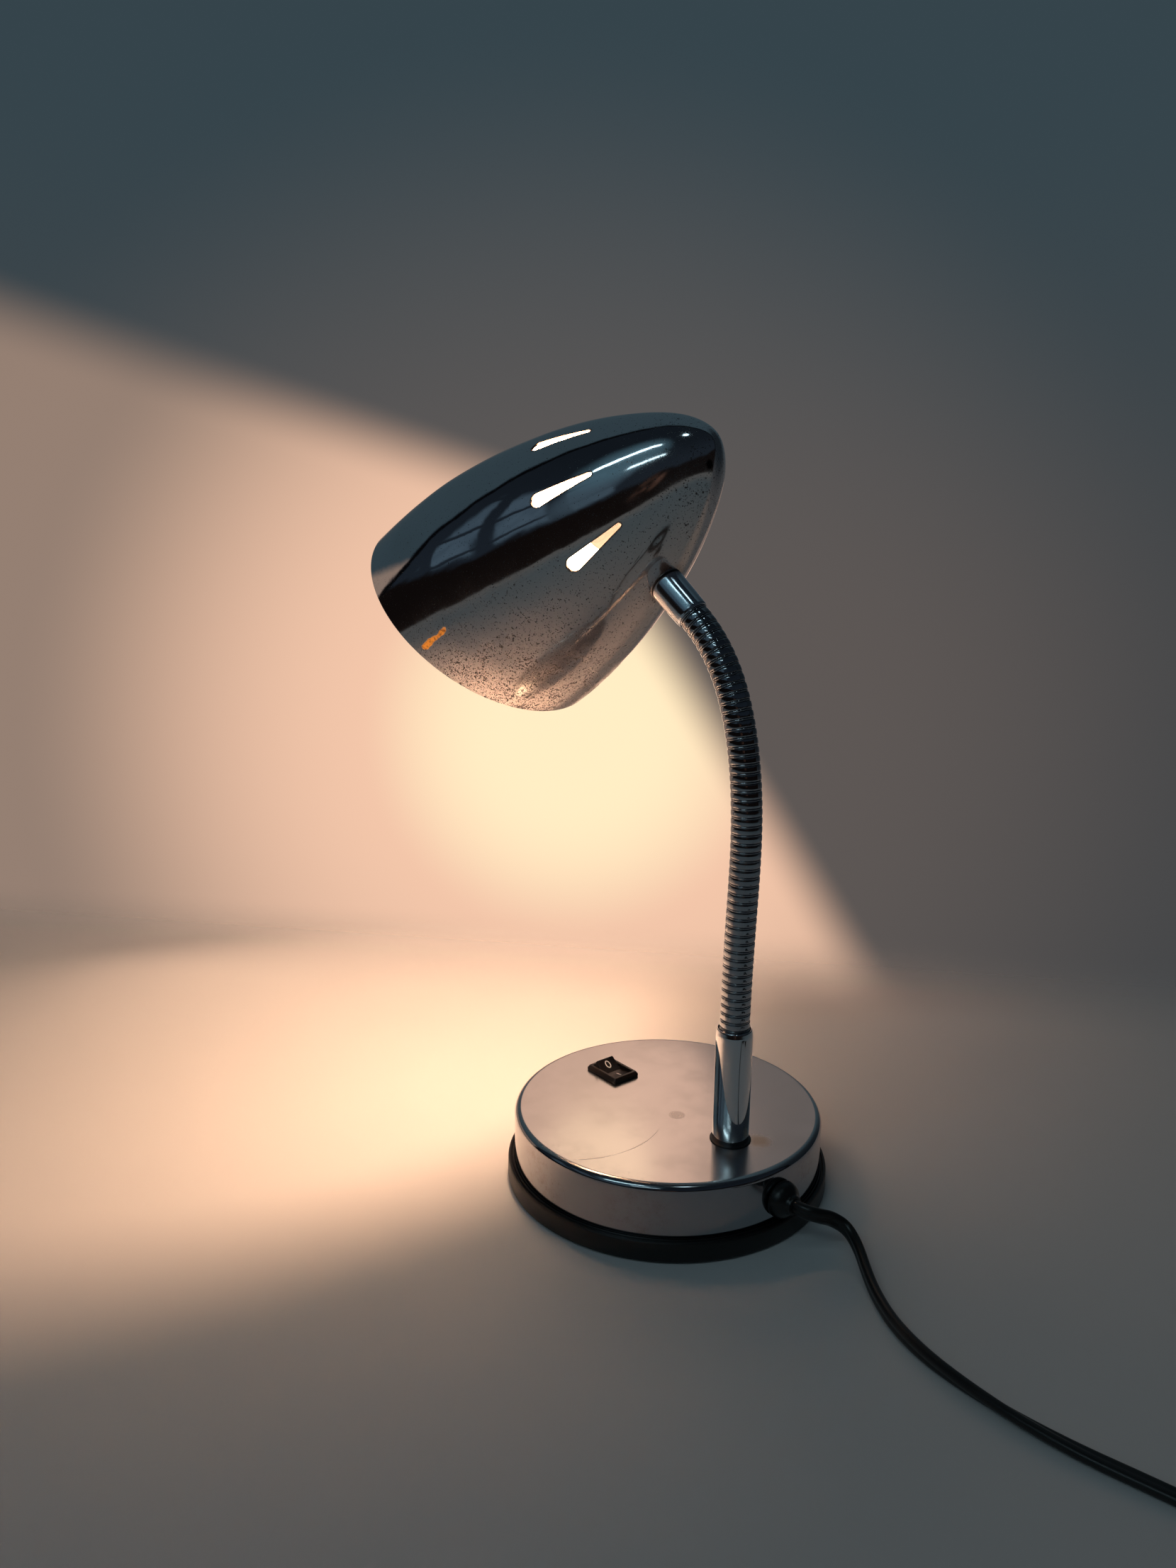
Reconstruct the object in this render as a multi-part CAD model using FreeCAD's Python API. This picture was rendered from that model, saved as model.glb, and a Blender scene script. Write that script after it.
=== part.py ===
import FreeCAD, Part
import math
import os

from FreeCAD import Vector as V

# Gooseneck desk lamp, millimetres.
# +Z up, the base stands on z = 0 with its centre at the origin, the switch
# side (front) faces -Y, the stem and the mains lead are at the back (+Y).

# ---------------------------------------------------------------- dimensions
# base
RING_R = 73.5          # moulded tray, outer radius
RING_H = 10.0          # top of the tray's rim
COVER_R = 70.4         # chromed cover, outer radius
COVER_H = 34.0         # top of the cover
COVER_T = 0.8          # sheet thickness
COVER_FILLET = 3.2
PAD_R = 64.0
PAD_T = 1.0
BALLAST_R = 60.0
BALLAST_T = 10.0
# stem
STEM_Y = 40.6
STEM_R = 8.0
STEM_TOP = 86.3
COLLAR_T = 0.6
NIPPLE_R = 4.95
NIPPLE_BORE = 3.2
# switch
SW_Y = -39.0
BEZEL_L = 21.2         # along Y
BEZEL_W = 15.2         # along X
BEZEL_T = 2.5
ROCKER_L = 15.6
ROCKER_W = 10.6
ROCKER_TRAVEL = 20.0   # degrees from ON to OFF
# neck, a chain of hollow ball-and-socket links
NECK_R = 6.5
NECK_LEN = 181.6       # stem rim to upper ferrule rim
NECK_JOINTS = 20
NECK_END = 5.5         # first and last pivot, from either rim
BALL_R = 5.0
CUP_R = 5.05
LINK_BORE = 2.4
HEAD_TURN = 10.16      # head plane, turned from -Y about the stem, degrees
# leaning angle of the neck from the vertical, at six even stations
NECK_LEAN = (0.0, -0.0305, -0.0211, 0.1126, 0.3670, 0.8706)
# upper ferrule
FER_R0 = 7.0
FER_R1 = 7.8
FER_LEN = 16.2
# shade: station s runs from the mouth centre to the tail along its axis
SHADE_M = (147.66, 252.10)   # mouth centre, forward of the stem and height
SHADE_PITCH = 31.73          # axis below the horizontal, degrees
SHADE_CUT = 16.2             # mouth plane tilt, degrees
SHADE_T = 0.7
SHADE_PROFILE = ((-22.0, 58.7), (0.0, 58.75), (15.0, 58.2), (30.0, 56.95), (45.0, 54.6),
                 (60.0, 51.5), (75.0, 47.5), (90.0, 42.7), (105.0, 36.8), (120.0, 29.4),
                 (132.0, 22.2), (141.0, 15.2), (147.3, 7.6), (150.0, 0.0))
ATTACH_S = 101.2             # where the neck meets the shade
VENT_S0, VENT_R0 = 89.1, 3.0
VENT_S1, VENT_R1 = 111.0, 0.95
VENT_ANGLES = (-120.0, -80.0, -40.0, 0.0, 40.0, 80.0, 120.0)
# lampholder and bulb, stations on the shade's axis
HOLDER_S0, HOLDER_S1, HOLDER_R = 80.5, 132.0, 13.5
GLOBE_S, GLOBE_R = 58.0, 22.5
BULB_NECK = 3.0        # straight part between the globe and the cap
# mains lead, drawn as a round tube of the flat cord's equal section
CORD_R = 2.6
CORD_Z = 2.8
ROUTE = ((0.0, 79.0, 19.7), (0.0, 83.6, 19.7), (-4.4, 88.2, 18.2), (-11.0, 89.6, 15.2),
         (-15.4, 94.6, 11.4), (-12.8, 102.8, 7.6), (-6.2, 112.0, 4.7), (1.6, 123.0, 3.4),
         (10.2, 138.4, 2.9), (15.4, 156.2, 2.8), (17.0, 175.2, 2.8), (16.2, 195.2, 2.8),
         (13.4, 215.2, 2.8), (8.8, 234.6, 2.8), (4.4, 253.6, 2.8), (2.2, 272.5, 2.8),
         (2.0, 285.5, 2.8))
COIL_C = (-36.0, 289.5)
COIL_R0, COIL_R1, COIL_H = 27.4, 41.6, 15.8
ROUTE_END = ((-74.3, 289.5, 13.2), (-75.2, 281.1, 12.2), (-76.8, 272.5, 9.4),
             (-78.8, 264.1, 6.75), (-80.8, 256.5, 6.75))
PLUG_POS = (-80.8, 256.5, 6.75)

os.makedirs("parts", exist_ok=True)
made = []


def save(name, shape):
    if not shape.isValid():
        shape = shape.removeSplitter()
    print("%-26s solids %2d  vol %10.1f mm3  valid %s" % (name, len(shape.Solids), shape.Volume, shape.isValid()))
    shape.exportStep("parts/%s.step" % name)
    made.append(name)
    return shape


def cyl(r, h, p=(0, 0, 0), d=(0, 0, 1)):
    return Part.makeCylinder(r, h, V(*p), V(*d))


def box(x0, y0, z0, x1, y1, z1):
    return Part.makeBox(x1 - x0, y1 - y0, z1 - z0, V(x0, y0, z0))


def revolve(pts):
    """Solid of revolution about Z from a closed polygon of (r, z) points; an item may be ('arc', mid, end)."""
    edges, last, first = [], None, None
    for it in pts:
        if it[0] == "arc":
            a, m, b = V(last[0], 0, last[1]), V(it[1][0], 0, it[1][1]), V(it[2][0], 0, it[2][1])
            edges.append(Part.Arc(a, m, b).toShape())
            last = it[2]
        else:
            if last is not None:
                edges.append(Part.LineSegment(V(last[0], 0, last[1]), V(it[0], 0, it[1])).toShape())
            else:
                first = it
            last = it
    if math.hypot(last[0] - first[0], last[1] - first[1]) > 1e-7:
        edges.append(Part.LineSegment(V(last[0], 0, last[1]), V(first[0], 0, first[1])).toShape())
    face = Part.Face(Part.Wire(edges))
    return face.revolve(V(0, 0, 0), V(0, 0, 1), 360)


def place(shape, origin, x, y, z):
    """Puts a shape built in a local frame into the lamp's frame."""
    m = FreeCAD.Matrix(x.x, y.x, z.x, origin.x, x.y, y.y, z.y, origin.y, x.z, y.z, z.z, origin.z, 0, 0, 0, 1)
    s = shape.copy()
    s.Placement = FreeCAD.Placement(m).multiply(s.Placement)
    return s


def one(shape):
    return shape.Solids[0] if len(shape.Solids) == 1 else shape


def tube(points, r, cap=True, name=""):
    """Round lead: straight runs joined by tangent arcs as large as the runs allow."""
    P = [V(*p) for p in points]
    edges, pos, radii = [], P[0], []
    for i in range(1, len(P) - 1):
        a, b = P[i] - P[i - 1], P[i + 1] - P[i]
        la, lb = a.Length, b.Length
        a.normalize()
        b.normalize()
        turn = math.acos(max(-1, min(1, a.dot(b))))
        rad = 0.45 * min(la, lb) / math.tan(turn / 2)
        t = 0.45 * min(la, lb)
        p1, p2 = P[i] - a * t, P[i] + b * t
        bis = (b - a)
        bis.normalize()
        mid = P[i] + bis * (rad / math.cos(turn / 2) - rad)
        edges.append(Part.LineSegment(pos, p1).toShape())
        edges.append(Part.Arc(p1, mid, p2).toShape())
        pos = p2
        radii.append(rad)
    edges.append(Part.LineSegment(pos, P[-1]).toShape())
    w = Part.Wire(edges)
    d0 = P[1] - P[0]
    d0.normalize()
    prof = Part.Wire([Part.Circle(P[0], d0, r).toShape()])
    s = w.makePipeShell([prof], True, True)
    s = Part.Solid(s.Shells[0]) if not isinstance(s, Part.Solid) else s
    if s.Volume < 0:
        s.reverse()
    print("   tube %s length %.1f volume ratio %.4f radii %s" % (
        name, w.Length, s.Volume / (math.pi * r * r * w.Length), [round(q, 1) for q in radii]))
    return s


def stick(points, r):
    """Short inner wire: straight runs with round corners."""
    s = None
    for a, b in zip(points[:-1], points[1:]):
        d = V(*b) - V(*a)
        c = Part.makeCylinder(r, d.Length, V(*a), d)
        s = c if s is None else s.fuse(c)
    for p in points[1:-1]:
        s = s.fuse(Part.makeSphere(r, V(*p)))
    return s.removeSplitter()


def hexnut(af, h, bore, p=(0, 0, 0), d=(0, 0, 1)):
    R = af / math.sqrt(3)
    w = Part.makePolygon([V(R * math.cos(math.radians(60 * k)), R * math.sin(math.radians(60 * k)), 0) for k in range(7)])
    n = Part.Face(w).extrude(V(0, 0, h)).common(
        revolve([(0, 0), (R - 0.9, 0), (R + 0.02, 0.55), (R + 0.02, h - 0.55), (R - 0.9, h), (0, h)]))
    n = n.cut(cyl(bore, h + 2, (0, 0, -1)))
    z = V(*d)
    z.normalize()
    x = z.cross(V(0.3, 0.8, 0.1))
    x.normalize()
    return place(n, V(*p), x, z.cross(x), z)


# ------------------------------------------------------------------ the base
S = V(0, STEM_Y, 0)
cover = revolve([(0, COVER_H), (COVER_R - COVER_FILLET, COVER_H),
                 ("arc", (COVER_R - COVER_FILLET * (1 - math.sqrt(0.5)), COVER_H - COVER_FILLET * (1 - math.sqrt(0.5))),
                  (COVER_R, COVER_H - COVER_FILLET)),
                 (COVER_R, 5.0), (COVER_R - COVER_T, 5.0), (COVER_R - COVER_T, COVER_H - COVER_FILLET),
                 ("arc", (COVER_R - COVER_FILLET + (COVER_FILLET - COVER_T) * math.sqrt(0.5),
                          COVER_H - COVER_FILLET + (COVER_FILLET - COVER_T) * math.sqrt(0.5)),
                  (COVER_R - COVER_FILLET, COVER_H - COVER_T)),
                 (0, COVER_H - COVER_T)])
cover = cover.cut(cyl(5.2, 4, (0, STEM_Y, COVER_H - 2)))
cover = cover.cut(box(-6.6, SW_Y - 9.7, COVER_H - 2, 6.6, SW_Y + 9.7, COVER_H + 1))
cover = cover.cut(cyl(5.1, 6, (0, COVER_R - 4, 19.7), (0, 1, 0)))
save("base_cover", one(cover))

# tray: rim with a thin inner lip and a groove, floor plate, three screw posts
tray = revolve([(0, PAD_T), (RING_R - 6.0, PAD_T), (RING_R - 6.0, 0.4), (RING_R - 1.0, 0.4), (RING_R, 1.2),
                (RING_R, RING_H - 0.8), (RING_R - 0.7, RING_H - 0.1), (RING_R - 1.3, RING_H - 0.1),
                (RING_R - 1.6, RING_H - 0.9), (RING_R - 2.0, RING_H - 0.9), (RING_R - 2.2, RING_H),
                (COVER_R + 0.15, RING_H), (COVER_R + 0.15, 4.6), (COVER_R - COVER_T - 0.15, 4.6),
                (COVER_R - COVER_T - 0.15, 9.0), (COVER_R - COVER_T - 1.8, 9.0), (COVER_R - COVER_T - 1.8, 3.4),
                (0, 3.4)])
POSTS = [(44.0 * math.cos(math.radians(a)), 44.0 * math.sin(math.radians(a))) for a in (30, 150, 225, 315)]
for x, y in POSTS:
    tray = tray.cut(cyl(2.1, 6, (x, y, 0)))
    tray = tray.cut(cyl(4.2, 1.3, (x, y, PAD_T - 0.1)))
save("base_tray", one(tray))

save("base_pad", cyl(PAD_R, PAD_T))

ballast = cyl(BALLAST_R, BALLAST_T, (0, 0, 3.5))
ballast = ballast.cut(box(-11, SW_Y - 14, 3, 11, SW_Y + 14, 14))
ballast = ballast.cut(cyl(13, 12, (0, STEM_Y, 3)))
for x, y in POSTS:
    ballast = ballast.cut(cyl(1.75, 12, (x, y, 3)))
save("base_ballast", one(ballast))

screws = None
for x, y in POSTS:
    s = cyl(3.9, 1.13, (x, y, PAD_T + 0.02)).fuse(cyl(1.7, 8.6, (x, y, PAD_T + 1.0)))
    s = s.cut(box(x - 3.0, y - 0.4, PAD_T - 0.5, x + 3.0, y + 0.4, PAD_T + 0.6))
    screws = [s] if screws is None else screws + [s]
save("base_screws", Part.makeCompound([one(s) for s in screws]))

# ---------------------------------------------------------------- the switch
zb = COVER_H + 0.03


def frustum(l0, w0, z0, l1, w1, z1):
    a = Part.makePolygon([V(-w0 / 2, -l0 / 2, z0), V(w0 / 2, -l0 / 2, z0), V(w0 / 2, l0 / 2, z0), V(-w0 / 2, l0 / 2, z0), V(-w0 / 2, -l0 / 2, z0)])
    b = Part.makePolygon([V(-w1 / 2, -l1 / 2, z1), V(w1 / 2, -l1 / 2, z1), V(w1 / 2, l1 / 2, z1), V(-w1 / 2, l1 / 2, z1), V(-w1 / 2, -l1 / 2, z1)])
    return Part.makeLoft([a, b], True, True)


bezel = box(-BEZEL_W / 2, -BEZEL_L / 2, zb, BEZEL_W / 2, BEZEL_L / 2, zb + 1.0).fuse(
    frustum(BEZEL_L, BEZEL_W, zb + 1.0, BEZEL_L - 2.0, BEZEL_W - 2.0, zb + BEZEL_T))
house = bezel.fuse(box(-6.4, -9.4, zb - 15.5, 6.4, 9.4, zb + 0.3)).removeSplitter()
house = house.cut(box(-ROCKER_W / 2 - 0.2, -ROCKER_L / 2 - 0.5, zb - 8.0, ROCKER_W / 2 + 0.2, ROCKER_L / 2 + 0.5, zb + 4))
PIV_Z = zb - 1.6
house = house.cut(cyl(1.05, 12.4, (-6.2, 0, PIV_Z), (1, 0, 0)))
# contact chamber under the rocker, open to the two blade slots
house = house.cut(box(-3.0, -6.5, zb - 13.5, 3.0, 6.5, zb - 7.9))
house = house.cut(box(-2.45, -5.95, zb - 17, 2.45, -4.95, zb - 12))
house = house.cut(box(-2.45, -0.5, zb - 17, 2.45, 0.5, zb - 12))
# snap wings on the short sides
for sgn in (-1, 1):
    pr = Part.makePolygon([V(-2.6, sgn * 9.35, zb - 1.4), V(-2.6, sgn * 10.15, zb - 1.4), V(-2.6, sgn * 9.35, zb - 7.0), V(-2.6, sgn * 9.35, zb - 1.4)])
    house = house.fuse(Part.Face(pr).extrude(V(5.2, 0, 0)))
house.translate(V(0, SW_Y, 0))
save("switch_housing", one(house))

# rocker, drawn level and turned to ON: its stem-side end is pressed in
half = ROCKER_L / 2
prof = [(-half, 3.9), (0.0, 1.55), (half, 3.9), (half, -1.2), (3.2, -3.4), (-3.2, -3.4), (-half, -1.2)]
rocker = Part.Face(Part.makePolygon([V(-ROCKER_W / 2, y, z) for y, z in prof + prof[:1]])).extrude(V(ROCKER_W, 0, 0))
rocker = rocker.fuse(cyl(1.0, 11.8, (-5.9, 0, 0), (1, 0, 0)))
rocker = rocker.fuse(box(-1.2, -1.4, -6.0, 1.2, 1.4, -3.3)).removeSplitter()
try:
    ed = [e for e in rocker.Edges if abs(e.BoundBox.ZMin - 3.9) < 1e-4 and abs(e.BoundBox.ZMax - 3.9) < 1e-4]
    rocker = rocker.makeFillet(0.5, ed)
except Exception:
    pass
rocker.rotate(V(0, 0, 0), V(1, 0, 0), -ROCKER_TRAVEL / 2)
rocker.translate(V(0, SW_Y, PIV_Z))
save("switch_rocker", one(rocker))

blades = []
for y in (-5.45, 0.0):
    b = box(-2.35, SW_Y + y - 0.4, zb - 22.5, 2.35, SW_Y + y + 0.4, zb - 12.4)
    blades.append(b.cut(cyl(0.75, 2, (0, SW_Y + y - 1, zb - 20.6), (0, 1, 0))))
save("switch_blades", Part.makeCompound(blades))
cb = box(-1.8, SW_Y - 6.0, zb - 12.3, 1.8, SW_Y + 1.0, zb - 11.9).fuse(cyl(1.1, 0.6, (0, SW_Y - 5.4, zb - 11.95)))
save("switch_contact_spring", one(cb.removeSplitter()))

# ------------------------------------------------------------------ the stem
zc = COVER_H + 0.02
save("stem_collar", cyl(STEM_R + 1.0, COLLAR_T, (0, STEM_Y, zc)).cut(cyl(5.3, 2, (0, STEM_Y, zc - 0.5))))
z0 = zc + COLLAR_T + 0.02
stem = revolve([(5.3, z0), (STEM_R, z0), (STEM_R, STEM_TOP - 3.0), (STEM_R - 0.35, STEM_TOP - 1.4),
                (STEM_R - 0.55, STEM_TOP), (7.0, STEM_TOP), (7.0, z0 + 1.6), (5.3, z0 + 1.6)])
stem.translate(S)
save("stem_tube", one(stem))
nip = cyl(NIPPLE_R, 52.0, (0, STEM_Y, 20.5)).cut(cyl(NIPPLE_BORE, 60, (0, STEM_Y, 18)))
save("stem_nipple", one(nip))
zi = COVER_H - COVER_T
w = cyl(9.0, 1.2, (0, STEM_Y, zi - 1.22)).cut(cyl(5.25, 3, (0, STEM_Y, zi - 2)))
save("stem_washer", one(w))
save("stem_nut", one(hexnut(14.0, 5.0, NIPPLE_R + 0.04, (0, STEM_Y, zi - 6.3))))

# ------------------------------------------------------------------ the neck
F = V(math.sin(math.radians(HEAD_TURN)), -math.cos(math.radians(HEAD_TURN)), 0)
A = V(-F.y, F.x, 0)          # hinge axis of forward bending
Z = V(0, 0, 1)


def spline_lean(u):
    """Natural cubic through NECK_LEAN at even stations."""
    n = len(NECK_LEAN)
    h = 1.0 / (n - 1)
    a = [[0.0] * n for _ in range(n)]
    b = [0.0] * n
    a[0][0] = a[n - 1][n - 1] = 1.0
    for i in range(1, n - 1):
        a[i][i - 1], a[i][i], a[i][i + 1] = h, 4 * h, h
        b[i] = 6 * (NECK_LEAN[i + 1] - 2 * NECK_LEAN[i] + NECK_LEAN[i - 1]) / h
    for i in range(n):
        p = a[i][i]
        for j in range(i + 1, n):
            q = a[j][i] / p
            if q:
                for k in range(n):
                    a[j][k] -= q * a[i][k]
                b[j] -= q * b[i]
    m = [0.0] * n
    for i in range(n - 1, -1, -1):
        m[i] = (b[i] - sum(a[i][k] * m[k] for k in range(i + 1, n))) / a[i][i]
    i = min(int(u / h), n - 2)
    t = u - i * h
    return (m[i] * (h - t) ** 3 + m[i + 1] * t ** 3) / (6 * h) + (NECK_LEAN[i] / h - m[i] * h / 6) * (h - t) + (
        NECK_LEAN[i + 1] / h - m[i + 1] * h / 6) * t


N = 1816
path, s_, z_ = [(0.0, STEM_TOP)], 0.0, STEM_TOP
for i in range(N):
    an = spline_lean((i + 0.5) / N)
    s_ += math.sin(an) * NECK_LEN / N
    z_ += math.cos(an) * NECK_LEN / N
    path.append((s_, z_))


def at(l):
    k = l / NECK_LEN * N
    i = min(int(k), N - 1)
    f = k - i
    return (path[i][0] * (1 - f) + path[i + 1][0] * f, path[i][1] * (1 - f) + path[i + 1][1] * f)


def P3(s, z, side=0.0):
    return S + F * s + A * side + Z * z


pitch = (NECK_LEN - 2 * NECK_END) / (NECK_JOINTS - 1)
piv = [(0.0, STEM_TOP + NECK_END)] + [at(NECK_END + pitch * k) for k in range(1, NECK_JOINTS)]
lean_end = spline_lean(1.0)
D = F * math.sin(lean_end) + Z * math.cos(lean_end)      # upper ferrule axis
E1 = P3(*piv[-1]) + D * NECK_END


def link(p, top_cup=True, low_ball=True, low_len=0.0, top_len=0.0):
    """One hollow link: ball at z = 0, cup round z = p."""
    if low_ball:
        zb_ = -3.4
        rb_ = math.sqrt(BALL_R ** 2 - zb_ ** 2)
        zt_ = 3.0
        rt_ = math.sqrt(BALL_R ** 2 - zt_ ** 2)
        pts = [(LINK_BORE, zb_), (rb_, zb_), ("arc", (BALL_R, 0.0), (rt_, zt_)), (NECK_R - 0.5, 3.0), (NECK_R, 3.5)]
    else:
        pts = [(LINK_BORE, -low_len), (6.9, -low_len), (6.9, -0.4), (NECK_R, 0.0)]
    if top_cup:
        zr = p + 1.2
        rr = math.sqrt(CUP_R ** 2 - 1.2 ** 2)
        zq = p - math.sqrt(CUP_R ** 2 - LINK_BORE ** 2)
        am = (CUP_R * math.cos(-0.55), p + CUP_R * math.sin(-0.55))
        pts += [(NECK_R, zr - 0.5), (NECK_R - 0.5, zr), (rr, zr), ("arc", am, (LINK_BORE, zq))]
    else:
        pts += [(NECK_R, p + top_len), (LINK_BORE, p + top_len)]
    return revolve(pts)


def frame_at(p, q):
    d = q - p
    d.normalize()
    y = A
    x = y.cross(d)
    return x, y, d


# lower end: sits in the stem, carries the first cup
g = [P3(*q) for q in piv]
low = revolve([(NIPPLE_R + 0.04, -14.0), (6.9, -14.0), (6.9, -0.5), (NECK_R, 0.0), (NECK_R, NECK_END + 0.7),
               (NECK_R - 0.5, NECK_END + 1.2), (math.sqrt(CUP_R ** 2 - 1.44), NECK_END + 1.2),
               ("arc", (CUP_R * math.cos(-0.55), NECK_END + CUP_R * math.sin(-0.55)),
                (LINK_BORE, NECK_END - math.sqrt(CUP_R ** 2 - LINK_BORE ** 2))),
               (LINK_BORE, -1.0), (NIPPLE_R + 0.04, -1.0)])
low.translate(V(0, STEM_Y, STEM_TOP))
save("neck_end_lower", one(low))

for k in range(NECK_JOINTS - 1):
    p = (g[k + 1] - g[k]).Length
    x, y, d = frame_at(g[k], g[k + 1])
    s = place(link(p), g[k], x, y, d)
    save("neck_link_%02d" % (k + 1), one(s))

# upper end: ball on the last pivot, tail inside the ferrule
x, y, d = frame_at(g[-1], g[-1] + D)
up_end = revolve([(LINK_BORE, -3.4), (math.sqrt(BALL_R ** 2 - 3.4 ** 2), -3.4), ("arc", (BALL_R, 0), (4.0, 3.0)),
                  (NECK_R - 0.5, 3.0), (NECK_R, 3.5), (NECK_R, NECK_END + 8.0), (NIPPLE_R + 0.04, NECK_END + 8.0),
                  (NIPPLE_R + 0.04, NECK_END + 1.0), (LINK_BORE, NECK_END + 1.0)])
save("neck_end_upper", one(place(up_end, g[-1], x, y, d)))

# ------------------------------------------------------------------ the head
M = P3(*SHADE_M)
cp, sp = math.cos(math.radians(SHADE_PITCH)), math.sin(math.radians(SHADE_PITCH))
U = F * (-cp) + Z * sp          # from the mouth to the tail
X = F * sp + Z * cp             # the shade's top side
Y = U.cross(X)


def head(shape):
    return place(shape, M, X, Y, U)


def bsp(pts, t1=None):
    c = Part.BSplineCurve()
    if t1 is None:
        c.interpolate([V(r, 0, s) for s, r in pts])
    else:
        c.interpolate(Points=[V(r, 0, s) for s, r in pts], InitialTangent=V(0, 0, 1), FinalTangent=V(-1, 0, 0))
    return c


def shade_solid(off):
    """Solid of the profile moved inward by off."""
    n = len(SHADE_PROFILE)
    out = []
    for i, (s, r) in enumerate(SHADE_PROFILE):
        a = SHADE_PROFILE[max(i - 1, 0)]
        b = SHADE_PROFILE[min(i + 1, n - 1)]
        tx, ty = b[0] - a[0], b[1] - a[1]
        if i == n - 1:
            tx, ty = 0.0, -1.0
        L = math.hypot(tx, ty)
        nx, ny = ty / L, -tx / L      # inward: toward the mouth and the axis
        out.append((s + nx * off, max(r + ny * off, 0.0)))
    out[0] = (SHADE_PROFILE[0][0], out[0][1])
    out[-1] = (SHADE_PROFILE[-1][0] - off, 0.0)
    e = bsp(out, True).toShape()
    a, b = V(0, 0, out[0][0]), V(out[0][1], 0, out[0][0])
    tip = V(0, 0, out[-1][0])
    face = Part.Face(Part.Wire([Part.LineSegment(a, b).toShape(), e, Part.LineSegment(tip, a).toShape()]))
    return face.revolve(V(0, 0, 0), V(0, 0, 1), 360)


outer = shade_solid(0.0)
inner = shade_solid(SHADE_T)
inner_ext = inner.fuse(cyl(SHADE_PROFILE[0][1] - SHADE_T, 10, (0, 0, SHADE_PROFILE[0][0] - 9.9)))
shell = outer.cut(inner_ext)
# oblique mouth: the top side reaches further forward than the neck side
tc = math.tan(math.radians(SHADE_CUT))
pl = Part.makePolygon([V(-90, -90, -60), V(90, -90, -60), V(90, -90, -90 * tc), V(-90, -90, 90 * tc), V(-90, -90, -60)])
shell = shell.cut(Part.Face(pl).extrude(V(0, 180, 0)))
# tear-shaped vents round the top and the flanks
for an in VENT_ANGLES:
    dx = VENT_S1 - VENT_S0
    be = math.acos((VENT_R0 - VENT_R1) / dx)
    c0, c1 = (0, VENT_S0), (0, VENT_S1)
    p0 = [(VENT_R0 * math.sin(be) * sg, VENT_S0 + VENT_R0 * math.cos(be)) for sg in (1, -1)]
    p1 = [(VENT_R1 * math.sin(be) * sg, VENT_S1 + VENT_R1 * math.cos(be)) for sg in (1, -1)]
    e = [Part.LineSegment(V(20, p0[0][0], p0[0][1]), V(20, p1[0][0], p1[0][1])).toShape(),
         Part.Arc(V(20, p1[0][0], p1[0][1]), V(20, 0, VENT_S1 + VENT_R1), V(20, p1[1][0], p1[1][1])).toShape(),
         Part.LineSegment(V(20, p1[1][0], p1[1][1]), V(20, p0[1][0], p0[1][1])).toShape(),
         Part.Arc(V(20, p0[1][0], p0[1][1]), V(20, 0, VENT_S0 - VENT_R0), V(20, p0[0][0], p0[0][1])).toShape()]
    cutter = Part.Face(Part.Wire(e)).extrude(V(50, 0, 0))
    cutter.rotate(V(0, 0, 0), V(0, 0, 1), an)
    shell = shell.cut(cutter)

# where the ferrule axis pierces the shade
axis_line = Part.LineSegment(E1 - D * 5, E1 + D * 40).toShape()
outer_w = head(outer)
hit = outer_w.common(axis_line)
ATT = min((v.Point for v in hit.Vertexes), key=lambda q: (q - E1).Length)
d_att = (ATT - E1).Length
print("ferrule meets the shade %.2f mm from the neck rim" % d_att)
shade = head(shell)
shade = shade.cut(Part.makeCylinder(5.2, 12, E1 + D * (d_att - 5), D))
save("shade", one(shade))

xf, yf, zf = frame_at(E1, E1 + D)
fer = revolve([(NECK_R + 0.05, 0.0), (FER_R0, 0.0), (FER_R0 + 0.15, 0.6), (FER_R1, FER_LEN - 1.2),
               (FER_R1 - 0.35, FER_LEN - 0.3), (FER_R1 - 1.1, FER_LEN), (5.2, FER_LEN), (5.2, FER_LEN - 2.0),
               (NECK_R + 0.05, FER_LEN - 2.0)])
fer = place(fer, E1, xf, yf, zf)
save("upper_ferrule", one(fer))
gas = Part.makeCylinder(FER_R1 - 0.9, d_att + 2.5 - FER_LEN - 0.02, E1 + D * (FER_LEN + 0.02), D)
gas = gas.cut(Part.makeCylinder(5.2, 30, E1 + D * (FER_LEN - 2), D)).cut(outer_w)
save("ferrule_gasket", one(gas))
upn = Part.makeCylinder(NIPPLE_R, d_att + 9.0 - 1.2, E1 + D * 1.2, D).cut(Part.makeCylinder(NIPPLE_BORE, 60, E1 - D, D))
save("head_nipple", one(upn))

# bracket strip inside the shade, from the neck nut to the lampholder
foot0 = d_att + SHADE_T + 1.5
BR_W, BR_T = 12.0, 1.2


def loc(p):
    """Lamp frame to (s, x) in the head plane."""
    q = p - M
    return q.dot(U), q.dot(X)


Dn = V(D)
T1 = U * 1.0
T1 = T1 - D * T1.dot(D)
T1.normalize()
fa = E1 + D * foot0 - T1 * 7.5
fb = E1 + D * foot0 + T1 * 8.0
HS = HOLDER_S1 + 0.02
pts2 = [loc(fa), loc(fb), (HS + BR_T + 0.01, -14.0), (HS + BR_T + 0.01, 9.5)]


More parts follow.
